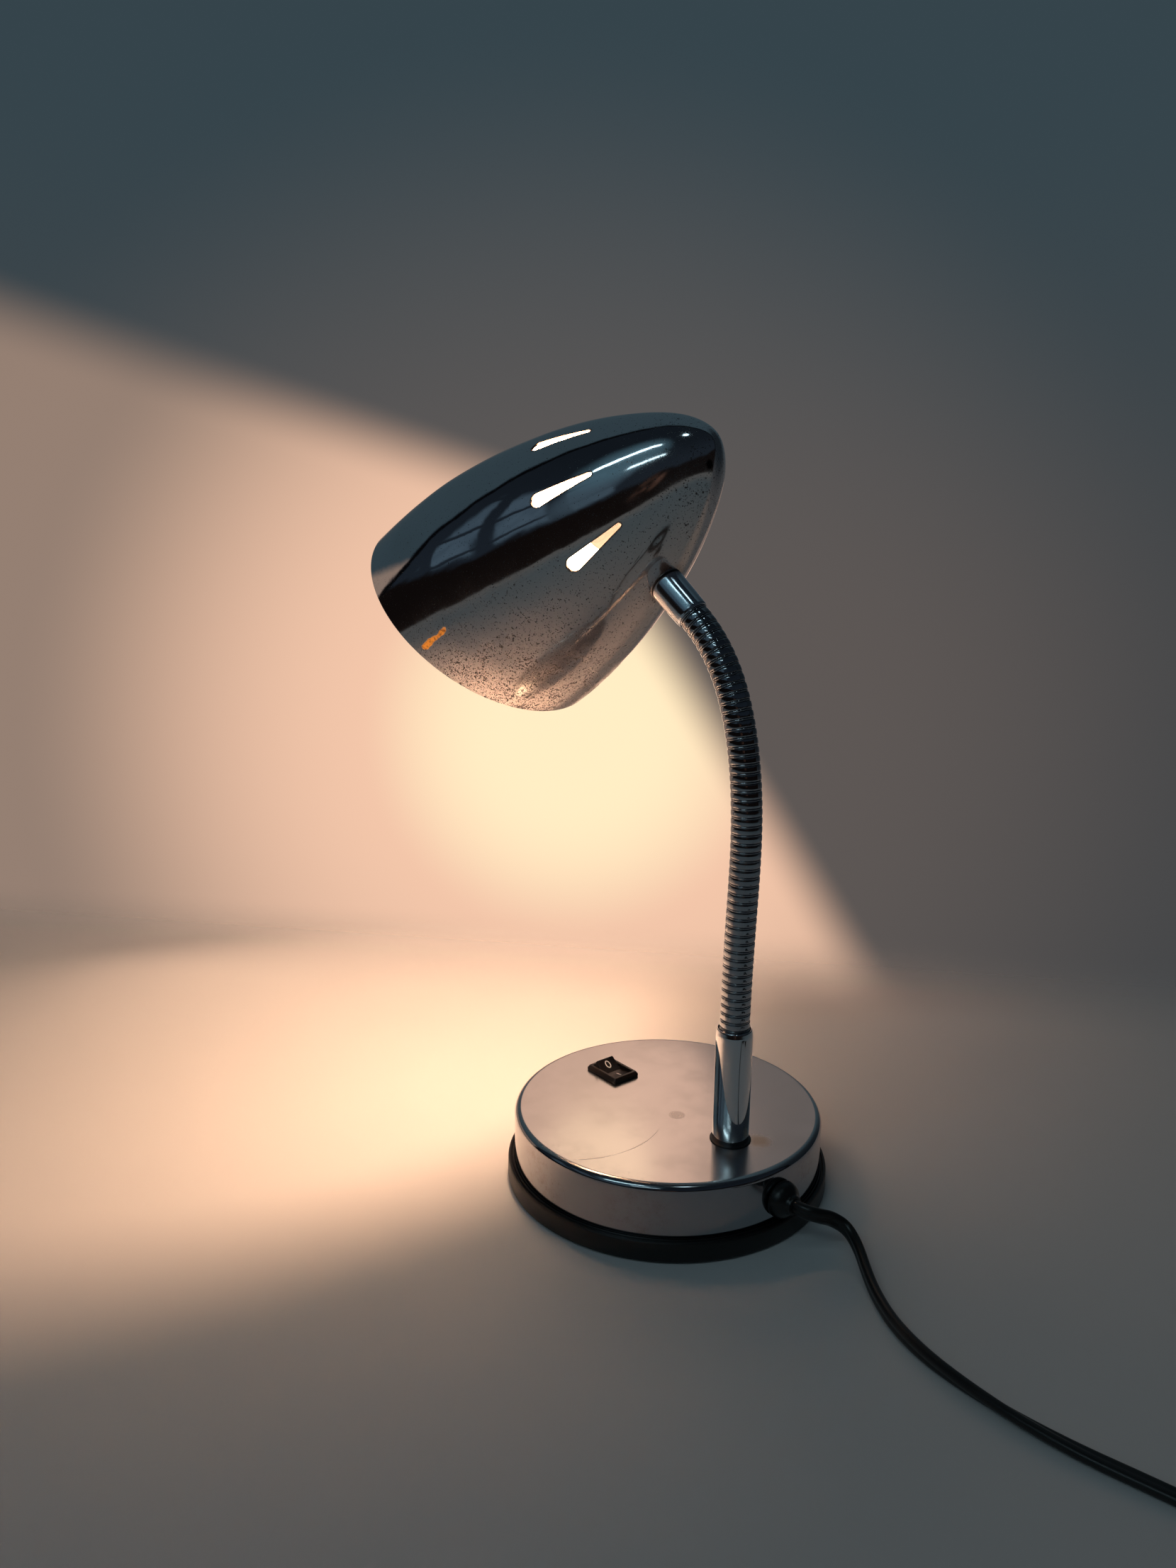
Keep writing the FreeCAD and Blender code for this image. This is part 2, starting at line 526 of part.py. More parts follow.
def offset_poly(pl, t):
    """Strip outline: the line and the same line moved by t to its left."""
    left = []
    for i, p in enumerate(pl):
        ns = []
        for a, b in ((i - 1, i), (i, i + 1)):
            if 0 <= a and b < len(pl):
                dx, dy = pl[b][0] - pl[a][0], pl[b][1] - pl[a][1]
                L = math.hypot(dx, dy)
                ns.append((-dy / L, dx / L))
        if len(ns) == 1:
            n = ns[0]
            left.append((p[0] + n[0] * t, p[1] + n[1] * t))
        else:
            nx, ny = ns[0][0] + ns[1][0], ns[0][1] + ns[1][1]
            k = 2.0 / (nx * nx + ny * ny)
            left.append((p[0] + nx * t * k, p[1] + ny * t * k))
    return left


# station and height of the strip in the head plane; its inner side looks into the bowl
sgn_t = BR_T
poly = pts2 + offset_poly(pts2, sgn_t)[::-1]
strip = Part.Face(Part.makePolygon([V(x_, -BR_W / 2, s__) for s__, x_ in poly + poly[:1]])).extrude(V(0, BR_W, 0))
strip = head(strip)
strip = strip.cut(Part.makeCylinder(5.2, 8, E1 + D * (foot0 - 4), D))
strip = strip.cut(head(cyl(5.2, 8, (0, 0, HS - 4))))
save("holder_bracket", one(strip))
nut = hexnut(14.0, 3.6, NIPPLE_R + 0.04, tuple(E1 + D * (foot0 + BR_T + 0.05)), tuple(D))

# lampholder: moulded body, screw shell, centre contact, its nipple and nut
body = revolve([(5.2, HOLDER_S1), (11.8, HOLDER_S1), (HOLDER_R, HOLDER_S1 - 1.7), (HOLDER_R, HOLDER_S0 + 18),
                (HOLDER_R - 0.6, HOLDER_S0 + 17.4), (HOLDER_R - 0.6, HOLDER_S0), (HOLDER_R - 3.0, HOLDER_S0),
                (HOLDER_R - 3.0, HOLDER_S0 + 3.0), (8.6, HOLDER_S0 + 4.0), (8.6, HOLDER_S1 - 12.0), (5.2, HOLDER_S1 - 12.0)])
body = body.cut(cyl(1.6, 30, (0, 0, HOLDER_S1 - 7), (0, 1, 0)).common(cyl(20, 60, (0, 0, HOLDER_S1 - 40))))
body = head(body)
save("lampholder_body", one(body))
scr = revolve([(7.15, HOLDER_S0 + 11.5), (8.3, HOLDER_S0 + 11.5), (8.3, HOLDER_S0 + 26.0), (7.15, HOLDER_S0 + 26.0)])
save("lampholder_screw_shell", one(head(scr)))
cc = cyl(2.4, 0.6, (0, 0, HOLDER_S0 + 27.2)).fuse(box(-2.0, -7.4, HOLDER_S0 + 27.6, 2.0, 0.5, HOLDER_S0 + 28.2)).fuse(
    box(-2.0, -8.2, HOLDER_S0 + 27.6, 2.0, -7.4, HOLDER_S0 + 32.6))
save("lampholder_contact", one(head(cc.removeSplitter())))
hn = cyl(NIPPLE_R, 16.0, (0, 0, HOLDER_S1 - 8.0)).cut(cyl(NIPPLE_BORE, 30, (0, 0, HOLDER_S1 - 15)))
save("holder_nipple", one(head(hn)))
hz = HS + BR_T + 0.06
save("head_nuts", Part.makeCompound([one(nut), one(head(hexnut(14.0, 3.6, NIPPLE_R + 0.04, (0, 0, hz))))]))

# bulb: opal globe with its small screw cap
neck_r = 6.6
gs = GLOBE_S + math.sqrt(GLOBE_R ** 2 - 12.0 ** 2)
gn = gs + BULB_NECK
glass_o = revolve([(0, GLOBE_S - GLOBE_R), ("arc", (GLOBE_R, GLOBE_S), (12.0, gs)), (neck_r + 1.2, gs + 5.0),
                   (neck_r, gs + 9.0), (neck_r, gn + 11.5), (0, gn + 11.5)])
glass_i = revolve([(0, GLOBE_S - GLOBE_R + 0.6), ("arc", (GLOBE_R - 0.6, GLOBE_S), (11.5, gs - 0.2)),
                   (neck_r + 0.6, gs + 4.8), (neck_r - 0.6, gs + 8.8), (neck_r - 0.6, gn + 10.8), (0, gn + 10.8)])
save("bulb_globe", one(head(glass_o.cut(glass_i))))
st = revolve([(0, gn + 10.75), (4.8, gn + 10.75), (4.2, gn + 8.6), (1.6, gs + 4.0), (1.2, gs - 6.0), (0, gs - 6.0)])
save("bulb_stem", one(head(st)))
fil = []
for sg in (-1, 1):
    fil.append(Part.makeCylinder(0.25, 10.45, V(sg * 0.7, 0, gs - 6.25), V(sg * 0.62, 0, -1)))
f2 = Part.makeCylinder(0.35, 2 * 6.15, V(-6.15, 0, gs - 15.3), V(1, 0, 0))
save("bulb_filament", one(head(f2.fuse(fil[0]).fuse(fil[1]).removeSplitter())))
c0 = gn + 8.9
turns = [(neck_r + 0.02, c0), (7.3, c0), (7.3, c0 + 2.4)]
zz = c0 + 2.4
for i in range(5):
    turns += [(6.55, zz + 1.0), (6.98, zz + 2.2)]
    zz += 2.2
turns += [(6.55, zz + 1.0), (4.8, zz + 2.6), (4.8, zz + 3.0), (3.4, zz + 3.0), (3.4, zz + 1.6), (6.1, zz + 0.6),
          (6.1, c0 + 2.8), (neck_r + 0.02, c0 + 2.7)]
save("bulb_cap", one(head(revolve(turns))))
ins = revolve([(0, zz + 1.7), (3.35, zz + 1.7), (3.35, zz + 3.1), (2.6, zz + 4.2), (0, zz + 4.2)])
save("bulb_insulator", one(head(ins)))
tip = revolve([(0, zz + 4.22), (2.3, zz + 4.22), (1.6, zz + 5.1), (0, zz + 5.3)])
save("bulb_contact", one(head(tip)))
print("bulb tip at station %.2f, holder contact at %.2f" % (zz + 5.3, HOLDER_S0 + 27.2))

# leads inside the head, from the neck nipple to the lampholder
n_in = E1 + D * (d_att + 9.4)
ls, lx = loc(n_in)
leads = []
for sg in (-1, 1):
    pts3 = [(lx, sg * 1.2, ls), (lx + 3.0, sg * 3.0, ls + 0.5), (-16.8, sg * 7.0, ls + 7.0), (-14.0, sg * 8.6, 112.0),
            (-11.4, sg * 8.9, 118.5)]
    leads.append(head(stick(pts3, 0.9)))
save("head_leads", Part.makeCompound([one(q) for q in leads]))

# leads inside the base: inlet to switch, switch to neck, inlet to neck
bl = [stick([(-1.6, 56.0, 19.7), (-14.0, 40.0, 19.0), (-16.0, 0.0, 19.0), (-12.0, -30.0, 17.0), (-4.0, -37.9, 15.6)], 1.1),
      stick([(3.9, -44.5, 15.6), (12.0, -34.0, 17.0), (16.0, 0.0, 19.0), (12.0, 28.0, 18.6), (1.6, 40.2, 19.4)], 1.1),
      stick([(1.6, 56.0, 19.7), (8.0, 52.0, 18.0), (4.0, 44.0, 17.0), (-1.6, 41.0, 19.4)], 1.1)]
save("base_leads", Part.makeCompound([one(q) for q in bl]))

# --------------------------------------------------------------- mains lead
# strain relief bush: round dome outside, short taper, waist in the wall, collar inside
gy = COVER_R
bush = revolve([(0, -12.0), (4.6, -12.0), (6.0, -9.0), (6.0, -1.2), (4.95, -1.2), (4.95, 0.25), (8.0, 0.25), (8.0, 1.6),
                ("arc", (7.2, 4.4), (5.2, 6.2)), (4.2, 7.0), (3.5, 79.0 - gy), (0, 79.0 - gy)])
bush = place(bush, V(0, gy, 19.7), V(1, 0, 0), V(0, 0, -1), V(0, 1, 0))
save("cord_strain_relief", one(bush))

save("cord_lead", tube(ROUTE, CORD_R, name="lead"))
coil = cyl(COIL_R1, COIL_H, (COIL_C[0], COIL_C[1], 0.02)).cut(cyl(COIL_R0, COIL_H + 2, (COIL_C[0], COIL_C[1], -1)))
save("cord_coil", one(coil))
save("cord_tail", tube(ROUTE_END, CORD_R, name="tail"))
t_o = box(COIL_R0 - 1.1, -3.0, 0.0, COIL_R1 + 1.1, 3.0, COIL_H + 1.1)
t_i = box(COIL_R0 - 0.35, -4.0, -0.5, COIL_R1 + 0.12, 4.0, COIL_H + 0.12)
tie = t_o.cut(t_i)
tie.rotate(V(0, 0, 0), V(0, 0, 1), 60)
tie.translate(V(COIL_C[0], COIL_C[1], 0))
save("coil_tie", one(tie))

# flat two-pin plug: flared body, tapered neck toward the lead
px, py, pz = PLUG_POS
last = V(*ROUTE_END[-1]) - V(*ROUTE_END[-2])
last.z = 0
last.normalize()
pa = last
pb = V(0, 0, 1).cross(pa)


def rrect(w, h, y, r):
    """Rounded rectangle in the local XZ plane at depth y along the plug axis."""
    w, h = w / 2.0, h / 2.0
    e = []
    cs = [(w - r, h - r, 0), (-w + r, h - r, 90), (-w + r, -h + r, 180), (w - r, -h + r, 270)]
    ptsr = []
    for cx, cz, a0 in cs:
        ptsr.append([(cx + r * math.cos(math.radians(a0 + t)), cz + r * math.sin(math.radians(a0 + t))) for t in (0, 45, 90)])
    for i, q in enumerate(ptsr):
        e.append(Part.Arc(V(q[0][0], q[0][1], y), V(q[1][0], q[1][1], y), V(q[2][0], q[2][1], y)).toShape())
        nx_ = ptsr[(i + 1) % 4][0]
        e.append(Part.LineSegment(V(q[2][0], q[2][1], y), V(nx_[0], nx_[1], y)).toShape())
    return Part.Wire(e)


pl_body = Part.makeLoft([rrect(8.6, 6.4, 0.0, 2.6), rrect(11.0, 8.0, 6.0, 3.0), rrect(17.0, 11.0, 14.0, 4.0),
                         rrect(30.0, 13.4, 24.0, 5.0), rrect(34.6, 13.4, 31.0, 5.6), rrect(35.3, 13.4, 36.0, 5.6)], True, False)
pl_body = place(pl_body, V(px, py, pz) + pa * 0.05, pb, V(0, 0, 1), pa)
save("plug_body", one(pl_body))
pins = []
for sg in (-1, 1):
    pn = revolve([(0, 36.1), (2.0, 36.1), (2.0, 54.2), (1.4, 55.1), (0, 55.1)])
    pn.translate(V(sg * 9.2, 0, 0))
    pins.append(place(pn, V(px, py, pz) + pa * 0.05, pb, V(0, 0, 1), pa))
save("plug_pins", Part.makeCompound([one(q) for q in pins]))

# ------------------------------------------------------------------- report
print("nodes", len(made))
print("forward F", tuple(round(q, 6) for q in F), "bend axis A", tuple(round(q, 6) for q in A))
for k, q in enumerate(g):
    lo_ = g[k - 1] if k else P3(0, STEM_TOP)
    hi_ = g[k + 1] if k + 1 < len(g) else E1
    d = hi_ - lo_
    d.normalize()
    print("pivot %2d (%.4f, %.4f, %.4f) tangent (%.6f, %.6f, %.6f)" % (k + 1, q.x, q.y, q.z, d.x, d.y, d.z))
print("ferrule rim", tuple(round(q, 3) for q in E1), "axis", tuple(round(q, 6) for q in D), "lean", round(math.degrees(lean_end), 2))
print("mouth", tuple(round(q, 3) for q in M), "U", tuple(round(q, 6) for q in U), "X", tuple(round(q, 6) for q in X), "Y", tuple(round(q, 6) for q in Y))
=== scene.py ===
import math
import bpy
import bmesh
import numpy as np
from mathutils import Vector, Matrix

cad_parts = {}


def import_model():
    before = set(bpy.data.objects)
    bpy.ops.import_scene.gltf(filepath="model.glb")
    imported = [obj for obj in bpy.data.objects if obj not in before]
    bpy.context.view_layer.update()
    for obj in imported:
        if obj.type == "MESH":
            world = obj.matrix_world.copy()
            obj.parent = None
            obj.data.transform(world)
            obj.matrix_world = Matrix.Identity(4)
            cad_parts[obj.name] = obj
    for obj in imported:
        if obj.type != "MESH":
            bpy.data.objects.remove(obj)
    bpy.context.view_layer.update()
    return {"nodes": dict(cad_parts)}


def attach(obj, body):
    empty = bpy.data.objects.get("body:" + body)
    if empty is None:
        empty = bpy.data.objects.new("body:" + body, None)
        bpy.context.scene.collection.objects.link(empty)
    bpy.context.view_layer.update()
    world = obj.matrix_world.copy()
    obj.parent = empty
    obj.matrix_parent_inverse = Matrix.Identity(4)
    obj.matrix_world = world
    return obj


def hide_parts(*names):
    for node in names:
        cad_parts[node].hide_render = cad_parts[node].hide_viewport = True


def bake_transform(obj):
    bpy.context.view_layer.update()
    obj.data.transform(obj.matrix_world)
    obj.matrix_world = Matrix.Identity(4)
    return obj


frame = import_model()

scene = bpy.context.scene
NODES = frame["nodes"]
MM = 0.001

# ------------------------------------------------------------------ camera
# the photograph's view, in the row's frame
cam_data = bpy.data.cameras.new("camera")
cam_data.sensor_fit = "AUTO"
cam_data.sensor_width = 36.0
cam_data.lens = 28.074
cam_data.clip_start = 0.01
cam_data.clip_end = 50.0
cam = bpy.data.objects.new("camera", cam_data)
scene.collection.objects.link(cam)
cr = Vector((-0.77544471, 0.63134065, 0.00972085))
cu = Vector((-0.13825539, -0.1847938, 0.97300395))
cf = Vector((-0.6160933, -0.75316681, -0.23058363))
cam.matrix_world = Matrix(((cr.x, cu.x, -cf.x, 0.356667), (cr.y, cu.y, -cf.y, 0.375849),
                           (cr.z, cu.z, -cf.z, 0.307830), (0, 0, 0, 1)))
scene.camera = cam


# --------------------------------------------------------------- mesh tools
def mesh_obj(name, verts, faces, mats=(), smooth=True):
    """verts in millimetres, in the row's frame."""
    me = bpy.data.meshes.new(name)
    me.from_pydata([tuple(float(c) * MM for c in v) for v in verts], [], [tuple(int(i) for i in f) for f in faces])
    me.validate()
    me.update()
    ob = bpy.data.objects.new(name, me)
    scene.collection.objects.link(ob)
    for m in mats:
        me.materials.append(m)
    me.polygons.foreach_set("use_smooth", [smooth] * len(me.polygons))
    return ob


def sharp_by_angle(ob, deg=32.0):
    bm = bmesh.new()
    bm.from_mesh(ob.data)
    lim = math.radians(deg)
    for e in bm.edges:
        if len(e.link_faces) == 2:
            e.smooth = e.calc_face_angle(0.0) < lim
        else:
            e.smooth = False
    bm.to_mesh(ob.data)
    bm.free()
    ob.data.update()


def frame_mat(origin, x, y, z):
    return np.array([[x[0], y[0], z[0], origin[0]], [x[1], y[1], z[1], origin[1]], [x[2], y[2], z[2], origin[2]], [0, 0, 0, 1.0]])


def axes_for(d, hint=(0.3, 0.8, 0.1)):
    z = np.array(d, float)
    z /= np.linalg.norm(z)
    x = np.cross(np.array(hint, float), z)
    x /= np.linalg.norm(x)
    return x, np.cross(z, x), z


def revolve(name, prof, n=128, origin=(0, 0, 0), axes=None, mats=(), closed=True, deg=32.0, mat_rows=None):
    """Mesh of revolution: prof is a list of (r, z), closed into a loop; radius 0 points make a pole."""
    if axes is None:
        axes = (np.array([1.0, 0, 0]), np.array([0, 1.0, 0]), np.array([0, 0, 1.0]))
    X_, Y_, Z_ = (np.array(a, float) for a in axes)
    O_ = np.array(origin, float)
    verts, rows = [], []
    for r, z in prof:
        if r < 1e-6:
            rows.append([len(verts)])
            verts.append(O_ + Z_ * z)
        else:
            row = []
            for i in range(n):
                a = 2 * math.pi * i / n
                row.append(len(verts))
                verts.append(O_ + X_ * (r * math.cos(a)) + Y_ * (r * math.sin(a)) + Z_ * z)
            rows.append(row)
    faces, fmat = [], []
    m = len(prof)
    for k in range(m if closed else m - 1):
        a, b = rows[k], rows[(k + 1) % m]
        mi = 0 if mat_rows is None else mat_rows[k]
        if len(a) == 1 and len(b) == 1:
            continue
        for i in range(n):
            j = (i + 1) % n
            if len(a) == 1:
                faces.append((a[0], b[j], b[i]))
            elif len(b) == 1:
                faces.append((a[i], a[j], b[0]))
            else:
                faces.append((a[i], a[j], b[j], b[i]))
            fmat.append(mi)
    ob = mesh_obj(name, verts, faces, mats)
    ob.data.polygons.foreach_set("material_index", fmat)
    fix_normals(ob)
    sharp_by_angle(ob, deg)
    return ob


def fix_normals(ob):
    bm = bmesh.new()
    bm.from_mesh(ob.data)
    bmesh.ops.recalc_face_normals(bm, faces=bm.faces)
    bm.to_mesh(ob.data)
    bm.free()


def arc(cx, cy, r, a0, a1, n):
    return [(cx + r * math.cos(math.radians(a0 + (a1 - a0) * i / n)), cy + r * math.sin(math.radians(a0 + (a1 - a0) * i / n)))
            for i in range(n + 1)]


def boolean_cut(ob, cutters):
    for c in cutters:
        mod = ob.modifiers.new("cut", "BOOLEAN")
        mod.operation = "DIFFERENCE"
        mod.solver = "EXACT"
        mod.object = c
    bpy.context.view_layer.update()
    dg = bpy.context.evaluated_depsgraph_get()
    me = bpy.data.meshes.new_from_object(ob.evaluated_get(dg))
    ob.modifiers.clear()
    old = ob.data
    ob.data = me
    me.name = ob.name
    bpy.data.meshes.remove(old)
    for c in cutters:
        m = c.data
        bpy.data.objects.remove(c)
        bpy.data.meshes.remove(m)


def ride(ob, body, slot, *nodes):
    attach(ob, body)
    if nodes:
        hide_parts(*nodes)
    return ob


# ------------------------------------------------------------ material tools
def new_mat(name):
    m = bpy.data.materials.new(name)
    m.use_nodes = True
    nt = m.node_tree
    nt.nodes.clear()
    out = nt.nodes.new("ShaderNodeOutputMaterial")
    return m, nt, out


class G:
    """Small helper for building node graphs."""

    def __init__(self, nt):
        self.nt = nt
        self.tc = None

    def n(self, kind, **kw):
        nd = self.nt.nodes.new(kind)
        for k, v in kw.items():
            setattr(nd, k, v)
        return nd

    def link(self, a, b):
        self.nt.links.new(a, b)

    def obj(self):
        if self.tc is None:
            self.tc = self.n("ShaderNodeTexCoord").outputs["Object"]
        return self.tc

    def val(self, x, sock):
        if hasattr(x, "is_linked") or hasattr(x, "links"):
            self.link(x, sock)
        else:
            sock.default_value = x

    def math(self, op, a, b=None, c=None, clamp=False):
        nd = self.n("ShaderNodeMath", operation=op, use_clamp=clamp)
        self.val(a, nd.inputs[0])
        if b is not None:
            self.val(b, nd.inputs[1])
        if c is not None:
            self.val(c, nd.inputs[2])
        return nd.outputs[0]

    def vmath(self, op, a, b=None):
        nd = self.n("ShaderNodeVectorMath", operation=op)
        self.val(a, nd.inputs[0])
        if b is not None:
            self.val(b, nd.inputs[1])
        return nd

    def dot(self, a, v):
        return self.vmath("DOT_PRODUCT", a, v).outputs["Value"]

    def dist(self, a, v):
        return self.vmath("DISTANCE", a, v).outputs["Value"]

    def ramp(self, x, lo, hi, to0=0.0, to1=1.0, smooth=True):
        nd = self.n("ShaderNodeMapRange", interpolation_type="SMOOTHSTEP" if smooth else "LINEAR")
        self.val(x, nd.inputs[0])
        for i, v in enumerate((lo, hi, to0, to1)):
            self.val(v, nd.inputs[1 + i])
        return nd.outputs[0]

    def noise(self, scale, detail=4.0, rough=0.55, vec=None, dist=0.0):
        nd = self.n("ShaderNodeTexNoise")
        self.link(vec if vec is not None else self.obj(), nd.inputs["Vector"])
        nd.inputs["Scale"].default_value = scale
        nd.inputs["Detail"].default_value = detail
        nd.inputs["Roughness"].default_value = rough
        nd.inputs["Distortion"].default_value = dist
        return nd

    def mapping(self, vec, scale=(1, 1, 1), loc=(0, 0, 0), rot=(0, 0, 0)):
        nd = self.n("ShaderNodeMapping")
        self.link(vec, nd.inputs[0])
        nd.inputs["Location"].default_value = loc
        nd.inputs["Rotation"].default_value = rot
        nd.inputs["Scale"].default_value = scale
        return nd.outputs[0]

    def mix(self, f, a, b):
        nd = self.n("ShaderNodeMix", data_type="RGBA")
        self.val(f, nd.inputs[0])
        for v, s in ((a, nd.inputs[6]), (b, nd.inputs[7])):
            if hasattr(v, "links"):
                self.link(v, s)
            else:
                s.default_value = (*v, 1.0) if len(v) == 3 else v
        return nd.outputs[2]

    def bump(self, h, strength, distance, normal=None):
        nd = self.n("ShaderNodeBump")
        nd.inputs["Strength"].default_value = strength
        nd.inputs["Distance"].default_value = distance
        self.link(h, nd.inputs["Height"])
        if normal is not None:
            self.link(normal, nd.inputs["Normal"])
        return nd.outputs[0]

    def bsdf(self, out, color=None, metallic=0.0, rough=None, normal=None, **kw):
        nd = self.n("ShaderNodeBsdfPrincipled")
        if color is not None:
            if hasattr(color, "links"):
                self.link(color, nd.inputs["Base Color"])
            else:
                nd.inputs["Base Color"].default_value = (*color, 1.0)
        self.val(metallic, nd.inputs["Metallic"])
        if rough is not None:
            self.val(rough, nd.inputs["Roughness"])
        if normal is not None:
            self.link(normal, nd.inputs["Normal"])
        for k, v in kw.items():
            s = nd.inputs[k.replace("_", " ")]
            if hasattr(v, "links"):
                self.link(v, s)
            else:
                s.default_value = (*v, 1.0) if isinstance(v, tuple) and len(v) == 3 and s.type == "RGBA" else v
        self.link(nd.outputs[0], out.inputs["Surface"])
        return nd


# head frame, millimetres
M = np.array([26.047, -104.745, 252.1])
U = np.array([-0.150032, 0.837199, 0.525917])
X = np.array([0.092771, -0.51767, 0.850536])
Y = np.cross(U, X)
E1 = np.array([4.9536, 12.9598, 259.9137])
D = np.array([0.134894, -0.752724, 0.644368])
F = np.array([0.176398, -0.984319, 0.0])
AX = np.array([0.984319, 0.176398, 0.0])


def head_pt(x, y, s):
    return M + X * x + Y * y + U * s


# ------------------------------------------------------------------ materials
def chrome(name, tint=(0.80, 0.81, 0.83), rough=0.05, speck=0.0, speck_scale=900.0, smear=0.03, wave=0.0, wave_scale=18.0):
    """Plated sheet or tube: faint smears in the gloss, a few pits, slow waves in the sheet."""
    m, nt, out = new_mat(name)
    g = G(nt)
    big = g.noise(38.0, 5.0, 0.6).outputs["Fac"]
    fine = g.noise(420.0, 3.0, 0.6).outputs["Fac"]
    r = g.math("ADD", g.math("MULTIPLY", g.ramp(big, 0.45, 0.75), smear), rough)
    r = g.math("ADD", r, g.math("MULTIPLY", fine, smear * 0.4))
    col = tint
    h = g.noise(wave_scale, 2.0, 0.4).outputs["Fac"]
    nrm = g.bump(h, 1.0, wave * MM) if wave > 0 else None
    if speck > 0:
        cell = g.noise(speck_scale, 2.0, 0.5).outputs["Fac"]
        patch = g.noise(60.0, 3.0, 0.6).outputs["Fac"]
        thr = g.math("SUBTRACT", 0.80, g.math("MULTIPLY", g.ramp(patch, 0.45, 0.8), 0.10 * speck))
        pit = g.ramp(cell, thr, g.math("ADD", thr, 0.02))
        col = g.mix(pit, tint, (0.10, 0.075, 0.055))
        r = g.math("ADD", r, g.math("MULTIPLY", pit, 0.4))
        nrm = g.bump(pit, -0.5, 0.05 * MM, nrm)
    g.bsdf(out, col, 1.0, r, nrm)
    return m


def moulded(name, color, rough=0.42, grain=900.0, depth=0.03, wear=0.0, spec=0.5, dust=0.0):
    """Moulded plastic or rubber: fine grain, slight gloss change, dusty patches."""
    m, nt, out = new_mat(name)
    g = G(nt)
    gr = g.noise(grain, 3.0, 0.6).outputs["Fac"]
    big = g.noise(28.0, 4.0, 0.6).outputs["Fac"]
    r = g.math("ADD", g.math("MULTIPLY", g.ramp(big, 0.35, 0.7), 0.12), rough - 0.05)
    light = tuple(min(1.0, c * 1.6 + 0.01) for c in color)
    col = g.mix(g.math("MULTIPLY", g.ramp(big, 0.4, 0.8), 0.5), color, light)
    if dust > 0:
        du = g.noise(260.0, 4.0, 0.7).outputs["Fac"]
        dm = g.math("MULTIPLY", g.ramp(du, 0.58, 0.75), g.math("MULTIPLY", g.ramp(big, 0.42, 0.65), dust))
        col = g.mix(dm, col, (0.28, 0.24, 0.20))
    nrm = g.bump(gr, 0.35, depth * MM)
    g.bsdf(out, col, 0.0, r, nrm)
    return m


def plain_metal(name, color, rough=0.3, brushed=0.0, wear=0.15):
    m, nt, out = new_mat(name)
    g = G(nt)
    big = g.noise(45.0, 4.0, 0.6).outputs["Fac"]
    fine = g.noise(700.0, 3.0, 0.6).outputs["Fac"]
    dark = tuple(c * 0.55 for c in color)
    col = g.mix(g.math("MULTIPLY", g.ramp(big, 0.45, 0.75), wear * 3), color, dark)
    r = g.math("ADD", g.math("MULTIPLY", fine, 0.18), rough - 0.08)
    nrm = g.bump(fine, 0.3, 0.02 * MM)
    g.bsdf(out, col, 1.0, r, nrm)
    return m


m_black = moulded("tray_black", (0.0055, 0.0048, 0.0045), 0.46, 700.0, 0.03, dust=0.06)
m_switch = moulded("switch_black", (0.011, 0.0075, 0.006), 0.34, 1500.0, 0.012)
m_rocker = moulded("rocker_black", (0.010, 0.0068, 0.0055), 0.30, 1800.0, 0.008)
m_cord = moulded("cord_black", (0.010, 0.0095, 0.009), 0.33, 1300.0, 0.015, dust=0.05)
m_plug = moulded("plug_black", (0.012, 0.0115, 0.011), 0.38, 1100.0, 0.02, dust=0.05)
m_gasket = moulded("gasket_black", (0.012, 0.011, 0.010), 0.45, 900.0, 0.02)
m_foam = moulded("pad_foam", (0.030, 0.029, 0.028), 0.85, 500.0, 0.20)
m_iron = plain_metal("ballast_iron", (0.16, 0.15, 0.145), 0.55)
m_steel = plain_metal("zinc_steel", (0.55, 0.55, 0.56), 0.32)
m_brass = plain_metal("brass", (0.75, 0.56, 0.26), 0.28)
m_nickel = plain_metal("nickel", (0.72, 0.69, 0.63), 0.22)
m_holder = moulded("holder_plastic", (0.035, 0.032, 0.030), 0.42, 800.0, 0.03)
m_lead = moulded("lead_cover", (0.55, 0.50, 0.42), 0.4, 900.0, 0.02)
m_collar = moulded("collar_black", (0.008, 0.008, 0.008), 0.35, 900.0, 0.01)


